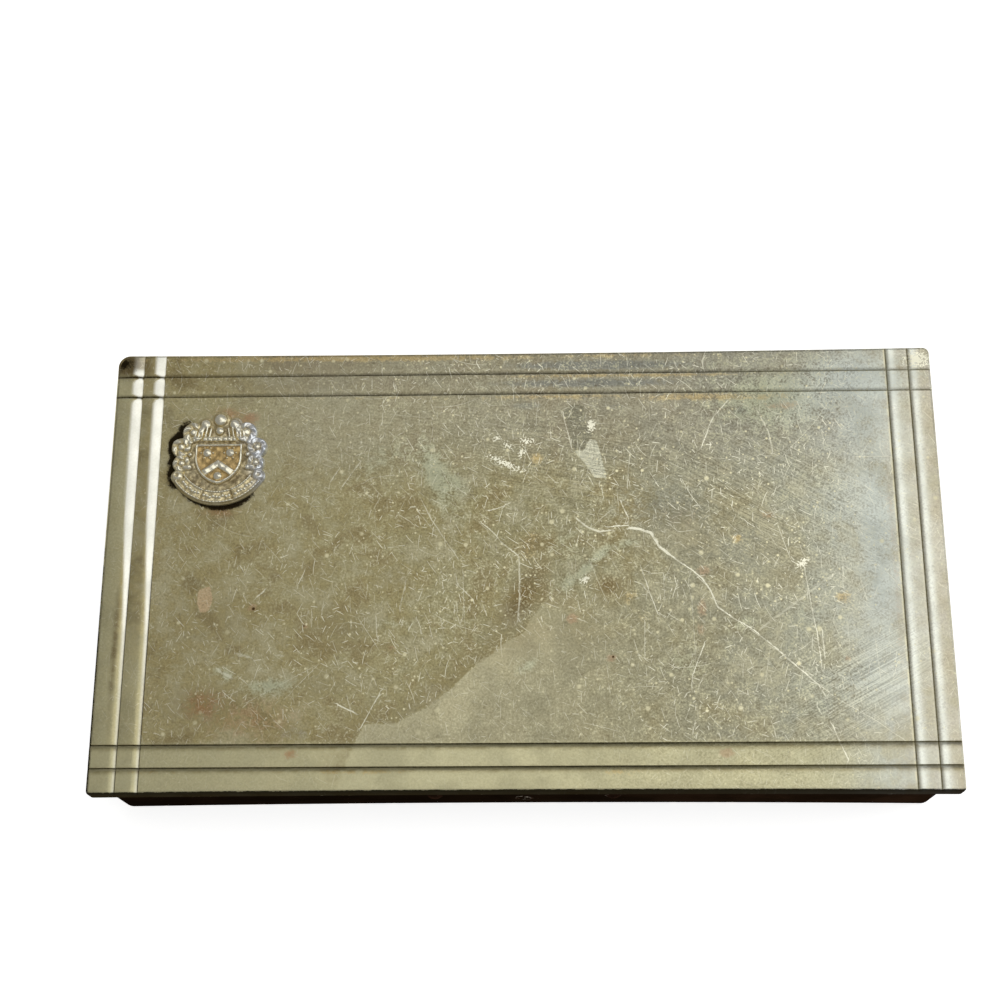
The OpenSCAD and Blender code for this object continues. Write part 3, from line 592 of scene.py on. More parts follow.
# Marks kept on the mesh: x, y, half width, half height, turn in degrees, strength
lid_marks = {
    "haze": [
        (-17, 18.2, 7.5, 2.3, -67, 1.0), (-13.5, 16.5, 3.6, 1.8, -45, 0.8),
        (-27, 22, 8, 3, 20, 0.4), (66, 38, 11, 6, 0, 1.1), (20.5, 3.8, 3, 0.8, 20, 0.75),
        (15.6, 1.7, 3.2, 0.9, 38, 1.0), (12.2, -1.5, 2.6, 1.1, 52, 0.95),
        (9.2, -4, 3, 1.6, 40, 0.6), (69.5, 4, 4, 23, 0, 0.9), (64, 10, 8, 18, 0, 0.4),
        (68, 30, 6, 8, 0, 0.8), (62, -25, 10, 6, 30, 0.45), (-48.6, -24.5, 4.4, 1.5, 5, 1.05),
        (-57.2, -21.9, 2, 0.8, -32, 1.0), (-53.9, -18.2, 1.6, 0.5, -16, 0.6),
        (1, -20.5, 2.2, 1.4, 25, 0.6), (31.4, -20.5, 3.5, 2.6, 0, 0.45),
        (42.2, -12.7, 3.6, 1.8, 20, 0.4), (-25, -12, 5, 0.8, 0, 0.3), (36, 41.6, 12, 1.1, 0, 0.3),
        (56, -11, 5, 2.4, -15, 0.35), (8, 3.5, 4, 3, 0, 0.3), (52, 34, 13, 6, 0, 1.1)],
    "slate": [
        (44.2, 31.6, 2.6, 1.4, 0, 0.9), (16, 41.9, 19, 1.2, 0, 1.15), (14, 37.8, 20, 1.0, 0, 1.05),
        (1, 33.1, 5, 1.1, 0, 0.6), (19, 32.7, 5, 0.9, 0, 0.5), (-44, -33.2, 8, 1.7, 0, 0.45),
        (38, 20, 14, 6, -20, 0.3), (70, -8, 3, 12, 0, 0.3), (-20, 41.7, 20, 1, 0, 0.3),
        (28, 12, 15, 9, 0, 0.5)],
    "brown": [
        (-36, -13, 9, 6, 0, 0.55), (-2, -15, 11, 6, 0, 0.48), (10, -14, 8, 6, 0, 0.4),
        (-79, -17, 0.8, 13, 0, 0.8), (-75, -2, 1.5, 28, 0, 0.4), (-45, 42, 24, 2.4, 0, 0.4),
        (-45, 37.7, 24, 1.5, 0, 0.35), (0, -7, 9, 3.4, 60, 0.95), (2, 4, 2.5, 2.5, 0, 0.5),
        (16.7, -4.9, 3, 2.2, 0, 0.85), (-61, -28, 10, 5, 0, 0.6), (-60, -12, 12, 8, 0, 0.4),
        (-38, -24, 9, 5, 0, 0.4), (-80.4, 42.8, 4.2, 2.6, -20, 1.5), (27, 9, 6, 4, 0, 0.4),
        (34, 4, 6, 5, 0, 0.4), (-42, -2, 6, 5, 0, 0.35), (-24, -3, 9, 5, 0, 0.35),
        (-68.8, 23, 1.2, 4.5, 0, 1.2), (-70, -20, 3, 14, 0, 0.3), (-20, 6, 7, 5, 0, 0.3),
        (48, 3, 8, 5, 0, 0.3)],
    "rust": [
        (-52, -31, 12, 5, 0, 0.5), (-59, 31.8, 4.2, 1.5, -10, 0.8), (-55.3, 30.6, 1.8, 1.7, 0, 0.9),
        (-61, -28, 5, 3.5, 0, 0.7), (-57, -31, 4, 2, 0, 0.5), (31.4, 9.3, 4, 3.5, 0, 0.35),
        (48.1, 9.2, 1.6, 1.1, 0, 0.6), (52, 32.4, 4.5, 1.2, 0, 0.6), (72.4, 0, 0.8, 30, 0, 0.4),
        (-60, 10.9, 5, 1.2, 0, 0.6), (-44, -37.4, 1.2, 0.9, 0, 1.0)],
    "tan": [
        (38, 34.6, 17, 0.8, 0, 0.95), (8, 34.8, 18, 0.5, 0, 0.85), (-30, 34.9, 20, 0.35, 0, 0.4),
        (-35, 44, 40, 0.7, 0, 1.0), (20, 44.1, 20, 0.5, 0, 0.6), (22, 39.4, 30, 0.4, 0, 0.85),
        (61.9, -7.4, 1.3, 1.3, 0, 1.1), (42, 4.7, 0.8, 0.7, 0, 1.3), (20.8, -7.3, 1.5, 1.5, 0, 0.6),
        (22.7, -11.5, 1.8, 1.4, 0, 0.4), (1.5, 5.2, 2, 1.6, 0, 0.5), (-33, -41, 14, 0.5, 0, 0.55),
        (18, -41.2, 4, 0.8, 0, 0.6), (3, 21.7, 1.1, 1.1, 0, 1.0), (1.5, 2.2, 1.3, 2, 0, 0.5),
        (-70, -40.8, 6, 0.5, 0, 0.5)],
    "pitted": [
        (9.6, -11.4, 1.4, 1.2, 0, 1.0), (17.1, -19.2, 1.1, 0.9, 0, 0.9),
        (38.3, -37.6, 1.5, 1.0, 0, 1.0), (-25.3, -17, 0.8, 0.6, 0, 1.0),
        (-52.6, -8.8, 1.3, 0.9, 0, 1.0), (-42, -12.4, 0.8, 0.7, 0, 0.9),
        (34.7, -9.6, 1.1, 2.4, 0, 0.8), (34.3, -13.6, 1.1, 2, 0, 0.7), (35.3, -2, 1.8, 1.3, 0, 0.8),
        (-54.4, 31.2, 1.8, 1.3, 0, 0.8), (62, -19.6, 0.7, 0.7, 0, 0.8),
        (-28, -17, 3, 1.1, 0, 0.35)],
    "scrape": [
        (-3.2, 20.6, 4.4, 0.6, -26, 1.1), (-5, 26.1, 0.8, 0.6, 0, 1.0),
        (-2.8, 24.6, 1.3, 0.5, -40, 1.0), (1, 25.4, 1.4, 0.7, -10, 1.0),
        (0, 22.9, 0.7, 1.4, -15, 0.95), (13.9, 28.7, 0.6, 1.2, 0, 1.4),
        (79.8, 42.2, 2.5, 1.9, 0, 1.05), (12.2, -3.6, 1.0, 0.7, 40, 1.1),
        (54.6, -0.4, 1.3, 0.6, 35, 1.3)],
}
# Edge of the smoother patch: the plate is lighter to its right and below
patch_edge = [
    (-33.5, -40), (-31.6, -34.8), (-30, -31.7), (-24.1, -31.6), (-18.6, -28.7), (-14.1, -25.3),
    (-9.1, -20.4), (-5.9, -18.3), (-3.4, -15.9), (0.1, -14.2), (1.5, -11.6), (3.6, -8.6),
    (4.6, -7.4), (6, 0), (10, 12)]
# Panels with clean edges: a dark one and a pale one below it, and a pinkish flake at the left
dark_panels = [
    [(8.5, 31.6), (9.7, 33.1), (12.4, 33.2), (12.8, 28.8), (14.4, 26), (13.2, 25.6), (12.7, 23.3),
     (10.4, 23.5)]]
pale_panels = [
    [(10.3, 23.2), (12.7, 23.4), (13.2, 25.6), (14.9, 25.5), (15.6, 23), (16.5, 19.1),
     (17.1, 17.4), (14.4, 17.5), (12.5, 20.6)],
    [(-63.3, -5.1), (-61, -4.3), (-60.3, -7.1), (-61.1, -9.5), (-62.7, -9.7), (-63.4, -7.7)]]


def marks_at(marks):
    total = np.zeros_like(grid_x)
    for mx, my, half_wide, half_high, turn, strength in marks:
        x, y, a = grid_x - mx, grid_y - my, math.radians(turn)
        along = (x * math.cos(a) + y * math.sin(a)) / half_wide
        across = (-x * math.sin(a) + y * math.cos(a)) / half_high
        total = np.maximum(total, strength * np.exp(-(along ** 2 + across ** 2) * 0.9))
    return total


def beside(a, b):
    """How far along the line from a to b each point lies, its gap to the line, and its side."""
    x, y = grid_x - a[0], grid_y - a[1]
    dx, dy = b[0] - a[0], b[1] - a[1]
    length = math.hypot(dx, dy)
    along = (x * dx + y * dy) / length
    held = np.clip(along, 0, length)
    return along, np.hypot(x - held * dx / length, y - held * dy / length), np.sign(x * dy - y * dx)


def side_of(line):
    """Distance from a broken line, positive to its right when followed upwards."""
    nearest = np.full(grid_x.shape, 99.0)
    for a, b in zip(line, line[1:]):
        _, gap, side = beside(a, b)
        nearest = np.where(gap < abs(nearest), gap * side, nearest)
    return np.clip(nearest, -12, 12)


def within(panels):
    """Distance inside the nearest panel's edge, negative outside."""
    best = np.full(grid_x.shape, -6.0)
    for panel in panels:
        gap, odd = np.full(grid_x.shape, 6.0), np.zeros(grid_x.shape, bool)
        for a, b in zip(panel, panel[1:] + panel[:1]):
            gap = np.minimum(gap, beside(a, b)[1])
            if a[1] != b[1]:
                crossing = a[0] + (grid_y - a[1]) * (b[0] - a[0]) / (b[1] - a[1])
                odd ^= ((a[1] > grid_y) != (b[1] > grid_y)) & (grid_x < crossing)
        best = np.maximum(best, np.where(odd, gap, -gap))
    return best


# Scratches that stand clear of each other, then those that cross them: width, strength, points
deep_scores = [
    (0.42, 0.6, [(10.8, 8.9), (12.8, 7.2), (14.9, 6.2), (17.4, 6.5)]),
    (0.6, 0.9, [(21, 6.9), (23.1, 6.7), (25.3, 5.9), (26.9, 3), (28.6, 1.5)]),
    (0.32, 0.95, [(28.6, 1.5), (32.8, -1.6), (34.9, -3.4), (36.5, -6), (37.7, -9.2), (40.5, -11.3),
     (44.3, -13.7), (47.6, -16.6), (51, -19.8), (56.1, -24.5)]),
    (0.22, 0.7, [(56.1, -24.5), (60, -27.6), (66.5, -31.5), (71.8, -35.5)]),
    (0.26, 0.9, [(54.8, -1), (55.8, -9.4), (56.6, -15.5), (57.1, -22)]),
    (0.3, 0.9, [(58.2, -32), (60.9, -39)]), (0.26, 0.9, [(35, -16.2), (32.5, -22.4)]),
    (0.26, 0.8, [(23.1, -0.9), (24.9, -6.9), (26.2, -10.6)]),
    (0.2, 0.6, [(23.6, -11.7), (23.4, -19.2)]),
    (0.3, 0.9, [(41.3, 33.6), (38.1, 29.7), (35.9, 24)]),
    (0.36, 0.6, [(47, 32), (49.2, 27), (49.9, 22.6)]), (0.24, 0.6, [(21.6, 22.8), (20.8, 15.2)]),
    (0.3, 0.6, [(-7.9, 8.2), (-5.9, 6.5), (-3.8, 4), (-0.8, 1.4)]),
    (0.24, 0.9, [(8.3, 31.3), (10, 23.8)]), (0.22, 0.6, [(-19.8, 13.1), (-18.2, 9.5), (-12.6, 1)]),
    (0.28, 0.6, [(-32.3, 21.2), (-35.8, 16)]), (0.4, 0.5, [(-0.6, 0.5), (-0.5, -6.8), (-0.9, -12)]),
    (0.24, 0.7, [(-12.5, -4.4), (-9.8, -7.1)]), (0.24, 0.6, [(-22.7, -3.8), (-23.6, -8.2)]),
    (0.26, 0.7, [(-26.9, -25), (-30.9, -32.7)]), (0.34, 0.8, [(-35.4, -28), (-31.5, -29.8)]),
    (0.2, 0.6, [(-39.1, -20), (-44.5, -25.7)]), (0.26, 0.6, [(-42.5, -1.2), (-44, -4.6)]),
    (0.5, 0.5, [(-55.1, -17.8), (-52.9, -18.6)]), (0.36, 0.7, [(-50.2, -5.2), (-51.7, -6.6)]),
    (0.2, 0.6, [(65.4, -3.2), (66.4, -8)])]
light_scores = [
    (0.3, 0.9, [(16.7, 7.2), (20.8, 7.5)]), (0.3, 0.7, [(57.5, -13.8), (57.7, -19.5)]),
    (0.2, 0.6, [(56.2, -15.5), (53.8, -17.3), (51.7, -18.4)]),
    (0.18, 0.55, [(47.5, -17.2), (46, -24.4)]),
    (0.18, 0.5, [(52.7, -19.6), (53.6, -21.2), (52.3, -27)]),
    (0.24, 0.8, [(56.1, -24.5), (57.6, -27.2)]),
    (0.5, 0.3, [(60.4, -2.8), (52.8, -8.4), (45.6, -13.7)]), (0.2, 0.6, [(62.4, 0.4), (62, -5.4)]),
    (0.2, 0.5, [(63.8, -7.2), (67, -4.8)]), (0.2, 0.5, [(67.4, -14.2), (68, -23.8)]),
    (0.16, 0.6, [(32.8, -2), (32.2, -3.8), (32.8, -8.2), (33.1, -19.7)]),
    (0.2, 0.6, [(27.5, -2.9), (27.6, -7.8)]), (0.2, 0.5, [(23.7, -2.5), (28.5, -2.3)]),
    (0.16, 0.5, [(35.9, 24), (34.2, 21.6)]), (0.2, 0.6, [(61.7, 33.4), (58.6, 28.9), (51, 20.8)]),
    (0.3, 0.8, [(19.5, 12.5), (21, 8.8)]), (0.2, 0.5, [(17.5, 10.7), (14.1, 7.6)]),
    (0.2, 0.6, [(28.5, 8.1), (30.7, 6), (33.7, 6.4)]), (0.18, 0.5, [(-20.8, 11.2), (-17.5, 6.8)]),
    (0.26, 0.8, [(-6.7, 10.7), (-4, 11.5), (-2.6, 12.3)]),
    (0.2, 0.5, [(-31.8, 16.6), (-29.8, 18), (-25.3, 18.4)]),
    (0.28, 0.5, [(-36.3, 20), (-38.2, 17.1)]),
    (0.16, 0.6, [(-11.6, -1.6), (-11.3, -10.1), (-10.9, -13.9)]),
    (0.2, 0.6, [(-13.3, -8.3), (-11.9, -12.9)]), (0.18, 0.5, [(-16, -10.7), (-15.3, -13.7)]),
    (0.2, 0.7, [(-28.4, -10.6), (-28.1, -14.8)]),
    (0.2, 0.5, [(-35.9, -12.1), (-33.5, -11.7), (-31.2, -12.2)]),
    (0.18, 0.45, [(-39.5, -20.2), (-54.3, -28.3)]), (0.16, 0.4, [(-59.8, -27.3), (-54.7, -25.4)]),
    (0.2, 0.6, [(-40.9, -9.3), (-40.8, -12.3)]), (0.6, 0.5, [(-58.6, -21.1), (-55.8, -22.7)])]


def scored_at(scores):
    """Signed distance to the nearest scratch, its width, and its strength between its ends."""
    nearest = np.full(grid_x.shape, 99.0)
    signed, width_at, strength_at = nearest, np.zeros_like(nearest), np.zeros_like(nearest)
    for width, strength, line in scores:
        for a, b in zip(line, line[1:]):
            along, gap, side = beside(a, b)
            closer = gap < nearest
            nearest = np.where(closer, gap, nearest)
            signed = np.where(closer, gap * side, signed)
            width_at = np.where(closer, width, width_at)
            before = np.where((along < 0) & (a == line[0]), -along, 0.0)
            beyond = along - math.dist(a, b)
            past = before + np.where((beyond > 0) & (b == line[-1]), beyond, 0.0)
            strength_at = np.where(closer, strength * (1 - smooth(0.0, 0.8, past)), strength_at)
    return signed, width_at, strength_at * smooth(1.5, 0.95, nearest)


# The slopes of the left pair carry a painted highlight, less where they run into the back pair
out_left = np.min([np.where(step - grid_x > -0.3, step - grid_x, 9.0)
                   for step, *_ in left_lines], axis=0)
outer_strips = smooth(-72.7, -73.3, grid_x)
front_strips = smooth(-34.8, -36, grid_y)
towards_back = smooth(-16, 14, grid_y)
from_back_line = np.min([abs(grid_y - line[0]) for line in back_lines], axis=0)
rounded_end = 0.45 + 0.55 * smooth(0.1, 0.9, from_back_line)
bright_slope = (smooth(0.62 + 0.36 * towards_back, 0.2 + 0.58 * towards_back,
                       out_left / slope_x / rounded_end)
                * smooth(0.35 - 0.4 * rounded_end, 0.5 - 0.38 * rounded_end, out_left)
                * (0.38 + 0.62 * smooth(-34, 0, grid_y))
                * (1 - 0.7 * smooth(41.2, 42.4, grid_y) * smooth(-75, -76, grid_x)))
on_top = {
    "foot": np.max([near(grid_x, left_lines, 0.0) * (0.15 + 0.65 * smooth(8, -8, grid_y)),
                    near(grid_x, right_lines, 0.05), 0.3 * near(grid_x, right_lines, 0.3, 0.3),
                    near(grid_y, lines_y, 0.0),
                    near(grid_y, back_lines, 0.1, 0.24) * smooth(-71, -74, grid_x)], axis=0),
    "bright_slope": bright_slope,
    "stained_slope": (near(grid_y, front_lines, 0.7, 0.5)
                      + 0.35 * near(grid_y, back_lines, 0.35, 0.3)),
    # crest: a painted glint along the crests of the steps
    "crest": np.max([near(grid_x, right_lines[:1], -0.24, 0.12),
                     0.4 * near(grid_x, right_lines[1:], -0.24, 0.12),
                     0.7 * near(grid_y, front_lines, 0.2, 0.1) * smooth(20, -50, grid_x)], axis=0),
    # strip: painted light beside the right lines, lifting the shade of their slopes
    "strip": near(grid_x, right_lines, 1.0, 0.9),
    "busy": ((0.58 + 0.42 * smooth(-50, -5, grid_x)) * (1 - 0.7 * smooth(60, 72, grid_x))
             * (1 - (0.75 - 0.35 * smooth(0, 30, grid_x)) * front_strips)
             * (1 - 0.75 * outer_strips)),
    "greyed": smooth(12, 32, grid_y) * smooth(-66, -40, grid_x) * smooth(76, 60, grid_x),
    "patch": side_of(patch_edge),
    # rubbed: paler front and outer strips and left edge, and a painted light zone at the back left
    "rubbed": np.max([front_strips * smooth(75, 50, grid_x), 0.85 * smooth(-78.3, -79.3, grid_x),
                      outer_strips * (0.05 + 0.65 * smooth(0, -25, grid_y)),
                      0.3 * smooth(10, 34, grid_y) * smooth(10, -40, grid_x)
                      * smooth(38, 34, grid_y)], axis=0),
    "swept_across": marks_at([(8, 21, 22, 11, -10, 1.0), (-30, 24, 14, 8, 0, 0.4)]),
    "swept_down": marks_at([(44, 15, 24, 15, -20, 1.0)]),
    "swept_up": marks_at([(62, -25, 14, 9, 30, 1.2), (30, -24, 12, 7, 20, 0.5),
                          (-44, 19, 8, 4, 40, 0.5), (22, -15, 8, 4, 35, 0.5)]),
    "dark_panel": within(dark_panels),
    "pale_panel": within(pale_panels),
}
for label, scores in (("deep", deep_scores), ("light", light_scores)):
    for part, values in zip(("_side", "_width", "_strength"), scored_at(scores)):
        on_top[label + part] = values
on_top.update({label: marks_at(marks) for label, marks in lid_marks.items()})
# A painted shadow of the badge, dark along its edge at its left and below, and a dark patch in the
# back left corner of the lid. The badge stands over its two lugs.
badge_x, badge_y, _ = middle("badge_lugs")
shadow_x, shadow_y = badge_x + 0.6, badge_y + 0.5
from_badge = np.min([np.hypot(grid_x - shadow_x - x, grid_y - shadow_y - y) - r for x, y, r in (
    (0, 0.6, 8.5), (0, -1.5, 8.6), (-5.3, 5.3, 2.5), (-7.6, 2.2, 2.3), (-7.4, -1.2, 2.2),
    (-8, -3.9, 1.8), (5.3, 5.3, 2.3), (7.4, -1.2, 1.8), (8, -3.9, 1.4), (-2.9, 7, 1.9),
    (0, 8, 2))], axis=0)
below_left = smooth(0.35, -0.3, (grid_x - badge_x) * 0.08 + (grid_y - badge_y) * 0.07)
# The grime label carries painted shade: the badge's shadow here, and the dark bent-down edge below
on_top["grime"] = np.maximum(0.85 * below_left * smooth(2.1, 0.4, from_badge),
                             marks_at([(-81.2, 43.0, 2.8, 1.9, -25, 0.58)]))
# It is browner round the badge, a little all round and as painted shade at its left and below, and
# on the bare side of the patch's edge
bare_side = 0.5 * smooth(-9, -1, on_top["patch"]) * (on_top["patch"] < 0) * smooth(8, -6, grid_y)
on_top["brown"] = np.max([on_top["brown"], (0.2 + 0.7 * below_left) * smooth(3.0, 0.0, from_badge),
                          bare_side], axis=0)

lid_attributes = {}
for label, values in on_top.items():
    # Marks fade over the bend, but distances from an edge end there, far from it
    is_distance = label in ("patch", "dark_panel", "pale_panel")
    bent = [np.full(around, -9.0) if is_distance else values[at_border] * (1.0 - 0.2 * i)
            for i in range(bend_rings)]
    rest = len(lid_points) - flat_count - bend_rings * around
    lid_attributes[label] = np.concatenate(
        [values.ravel()] + bent + [np.full(rest, -9.0 if is_distance else 0.0)])
# The bent-down edge is painted nearly black at the front and left, as painted shade
painted_edge_shade = np.clip(np.max([-away[:, 1], -0.85 * away[:, 0] * smooth(30, -30, edge[:, 1]),
                             0.15 * away[:, 1]], axis=0), 0, 1)
edge_shade_shares = (0.5, 0.8, 1.0, 1.0, 1.0, 1.0, 0.9, 0.8, 0.75, 0.7, 0.6, 0.45, 0.3, 0.2)
for i, share in enumerate(edge_shade_shares + (0.0,) * (len(rings) - len(edge_shade_shares))):
    start = flat_count + i * around
    lid_attributes["grime"][start:start + around] = painted_edge_shade * share

lid_pressing = sheet_piece("pressed_lid", lid_points, lid_faces, "lid", crease=50,
                           **lid_attributes)

# Nicks: short scratches, one to a cell of Pitch millimetres, lying about Angle within Spread
bench, given, done = effect("nicks", Pitch=4.0, Length=3.0, Width=0.12, Angle=0.0, Spread=3.14,
                            Curve=0.1, Share=0.7, Seed=0.0)
shift = bench.put("CombineXYZ", {i: bench.times(given["Seed"], by)
                                 for i, by in enumerate((17.3, 9.1))})[0]
shifted = bench.put("VectorMath", {0: bench.place(), 1: shift}, operation="ADD")[0]
cell = bench.put("TexVoronoi", {"Vector": shifted,
                                "Scale": bench.math("DIVIDE", 1.0, given["Pitch"])},
                 voronoi_dimensions="2D")
chance = bench.put("SeparateColor", {"Color": cell["Color"]})
offset = bench.put("VectorMath", {0: shifted, 1: cell["Position"]}, operation="SUBTRACT")[0]
lean = bench.scaled(bench.minus(chance["Blue"], 0.5), given["Spread"], given["Angle"])
turned = bench.axes(bench.put("VectorRotate", {"Vector": offset, "Angle": lean},
                              rotation_type="Z_AXIS")[0])
along = bench.math("ABSOLUTE", turned[0])
arc = bench.times(bench.times(along, along),
                  bench.times(bench.minus(chance["Green"], 0.5), given["Curve"]))
across = bench.math("ABSOLUTE", bench.minus(turned[1], arc))
reach = bench.times(given["Length"], bench.scaled(chance["Green"], 0.4, 0.12))
lengthwise = bench.span(along, reach, bench.times(reach, 0.5))
crosswise = bench.span(across, bench.times(given["Width"], 0.5), bench.times(given["Width"], 0.15))
depth = bench.math("POWER", bench.math("DIVIDE", chance["Red"], given["Share"]), 1.3)
kept = bench.times(bench.math("LESS_THAN", chance["Red"], given["Share"]),
                   bench.scaled(depth, 0.75, 0.25))
nicks = done(bench.times(kept, bench.times(lengthwise, crosswise)))

olive_plate, bench = finish("tarnished_plate", metallic=0.9, roughness=0.42, specular=0.0)
place_x, place_y, _ = bench.axes(bench.place())
marks = {label: bench.mark(label) for label in lid_attributes}
middle_cloud = bench.use(cloudiness, Size=7.0, Seed=62.0)
small_cloud = bench.use(cloudiness, Size=1.7, Seed=64.0)
fine_cloud = bench.use(cloudiness, Size=0.42, Seed=63.0, Detail=2.0)
ragged = bench.minus(bench.scaled(fine_cloud, 0.4, bench.times(small_cloud, 0.6)), 0.5)


def torn(label, low, high, raggedness=0.6):
    """The mark's place with a ragged edge."""
    return bench.span(bench.scaled(ragged, raggedness, marks[label]), low, high)


# Olive at the left, greener and greyer past the middle, and pale at the right, partly painted sheen
# where the plate catches the light
drift = bench.put("MapRange", {"Value": bench.scaled(middle_cloud, 8.0, place_x),
                               "From Min": -76.0, "From Max": 84.0})[0]
ramp_colour = bench.put("ValToRGB", {"Fac": drift})["Color"]
stops = ramp_colour.node.color_ramp.elements
stops[0].color, stops[1].color = tone(184, 171, 126), tone(208, 203, 186)
for stop, shade in ((0.2, (171, 161, 120)), (0.42, (160, 153, 116)), (0.6, (151, 146, 117)),
                    (0.74, (151, 149, 129)), (0.84, (170, 171, 154)), (0.93, (208, 212, 202))):
    stops.new(stop).color = tone(*shade)
warm = bench.use(cloudiness, Size=11.0, Seed=61.0, Detail=3.0, Low=0.4, High=0.68)
colour = bench.coats(ramp_colour, (warm, 0.35, (158, 142, 92)),
                     (small_cloud, 0.22, (178, 176, 146)))
light_cloud = bench.span(middle_cloud, 0.55, 1.0, 0.0, 0.45)
dark_cloud = bench.times(bench.span(middle_cloud, 0.45, 0.0, 0.0, 0.5),
                         bench.span(place_x, 45.0, 0.0, 0.1, 1.0))
colour = bench.coats(colour, (light_cloud, 1, (207, 201, 168)), (dark_cloud, 1, (122, 107, 74)))
patch_fade = bench.times(
    bench.span(bench.scaled(ragged, 0.5, marks["patch"]), -0.1, 0.15),
    bench.times(bench.span(place_x, 38.0, 4.0), bench.span(place_y, -2.0, -19.0)))
smoothed = bench.blend(bench.span(marks["patch"], 1.0, 12.0), (189, 183, 151), (166, 161, 133))
# Grey at the back, painted light beside the right lines, the smoother patch, and the paler rubbed
# strips with their painted light zone at the back left
colour = bench.coats(colour, (marks["greyed"], 0.42, (163, 160, 150)),
                     (marks["strip"], 0.8, (250, 254, 244)), (patch_fade, 0.85, smoothed),
                     (marks["rubbed"], 0.8, (202, 197, 159)))
hazy = bench.blend(bench.span(place_x, 45.0, 66.0), (208, 212, 182), (212, 219, 212))
flaked = bench.blend(bench.span(place_x, -20.0, 0.0), (212, 186, 150), (214, 214, 192))
for label, low, high, raggedness, strength, shade in (
        ("brown", 0.15, 1.1, 0.6, 0.8, (108, 87, 48)),
        ("slate", 0.25, 0.8, 0.6, 0.6, (122, 127, 126)),
        ("haze", 0.1, 1.0, 0.9, 0.75, hazy),
        ("rust", 0.2, 1.0, 0.7, 0.6, (176, 124, 84)),
        ("tan", 0.25, 0.9, 0.9, 0.6, (204, 178, 120)),
        ("dark_panel", -0.1, 0.1, 0.1, 0.7, (128, 126, 108)),
        ("pale_panel", -0.1, 0.12, 0.1, 0.75, flaked)):
    colour = bench.coats(colour, (torn(label, low, high, raggedness), strength, shade))
pitted = torn("pitted", 0.35, 0.75, 0.5)
colour = bench.coats(colour, (pitted, 0.5, (186, 152, 122)))

# Fine grain, and the hairlines of polishing in three directions
busy = bench.times(marks["busy"], bench.scaled(patch_fade, -0.4, 1.0))
grain = bench.scaled(bench.minus(fine_cloud, 0.5), bench.scaled(busy, 0.16, 0.08), 1.0)
for label, angle, length, width, seed in (("swept_across", 0.17, 16.0, 0.2, 1.0),
                                          ("swept_down", 0.52, 14.0, 0.2, 2.0),
                                          ("swept_up", -0.5, 14.0, 0.22, 3.0)):
    hairs = bench.use(rubs, Angle=angle, Length=length, Width=width, Low=0.32, High=0.68, Seed=seed)
    grain = bench.times(grain, bench.scaled(bench.minus(hairs, 0.5),
                                            bench.times(marks[label], 0.5), 1.0))
grey = bench.put("CombineColor", {0: grain, 1: grain, 2: grain})[0]
colour = bench.blend(1.0, colour, grey, "MULTIPLY")

mottled = bench.scaled(fine_cloud, 0.55, bench.times(small_cloud, 0.45))
for low, high, strength, shade in ((0.45, 0.12, 0.3, (104, 94, 60)),
                                   (0.55, 0.86, 0.4, (206, 202, 168))):
    share = bench.times(busy, bench.span(mottled, low, high, 0.0, strength))
    colour = bench.blend(share, colour, shade)
scuffed = bench.use(cloudiness, Size=9.0, Seed=65.0, Detail=3.0, Low=0.36, High=0.62)
for cleaner, change in ((patch_fade, -0.8), (marks["rubbed"], -0.75)):
    scuffed = bench.times(scuffed, bench.scaled(cleaner, change, 1.0))
scratches = bench.use(nicks, Pitch=1.3, Length=1.5, Width=0.16, Angle=1.4, Spread=2.8, Curve=0.6,
                      Share=0.6, Seed=1.0)
for pitch, length, width, angle, spread, share, seed in (
        (2.6, 5.0, 0.15, 1.2, 1.8, 0.75, 2.0), (2.1, 2.2, 0.2, 2.4, 3.1, 0.5, 3.0),
        (9.0, 15.0, 0.12, 0.5, 1.6, 0.4, 4.0)):
    more = bench.use(nicks, Pitch=pitch, Length=length, Width=width, Angle=angle, Spread=spread,
                     Curve=0.12, Share=share, Seed=seed)
    scratches = bench.most(scratches, more)
scuffed = bench.math("ADD", bench.times(scuffed, 0.45), bench.scaled(busy, 0.52, 0.05))
scuffed = bench.scaled(marks["swept_down"], 0.35, scuffed)
scratches = bench.times(scratches, scuffed)


def drawn(label):
    """A drawn scratch: its ragged line, broken here and there."""
    off_line = bench.math("ABSOLUTE", bench.scaled(ragged, 0.24, marks[label + "_side"]))
    core = bench.minus(off_line, bench.times(marks[label + "_width"], 0.5))
    line = bench.times(bench.span(core, 0.02, -0.1), marks[label + "_strength"])
    return bench.times(line, bench.span(small_cloud, 0.1, 0.6, 0.4, 1.0))


scored = bench.most(drawn("deep"), drawn("light"))
scraped = bench.span(bench.scaled(bench.minus(fine_cloud, 0.5), 0.9, marks["scrape"]),
                     0.5, 0.75)
scratches = bench.most(bench.most(scratches, scored), scraped)
specks = bench.most(bench.use(dots, Pitch=0.8, Size=0.34, Share=0.5, Seed=71.0),
                    bench.use(dots, Pitch=2.2, Size=0.7, Share=0.5, Seed=72.0))
specks = bench.times(specks, bench.times(scuffed, 0.85))
colour = bench.coats(colour, (specks, 1, (240, 234, 196)),
                     (bench.math("MINIMUM", scratches, 1.0), 1, (250, 248, 226)))
dark_specks = bench.use(dots, Pitch=1.1, Size=0.5, Share=0.5, Seed=73.0)
dark_specks = bench.times(dark_specks,
                          bench.scaled(busy, 0.25, bench.scaled(pitted, 1.0, 0.05)))
colour = bench.blend(bench.math("MINIMUM", dark_specks, 1.0), colour, (78, 60, 36))

# Painted highlight on the slopes of the left pair
painted_slope_highlight = bench.times(marks["bright_slope"], bench.scaled(fine_cloud, 0.1, 0.9))
# A darker brown band on the slopes below the front lines and beside the back lines
dark_band = bench.times(marks["stained_slope"], bench.scaled(small_cloud, 0.4, 0.15))
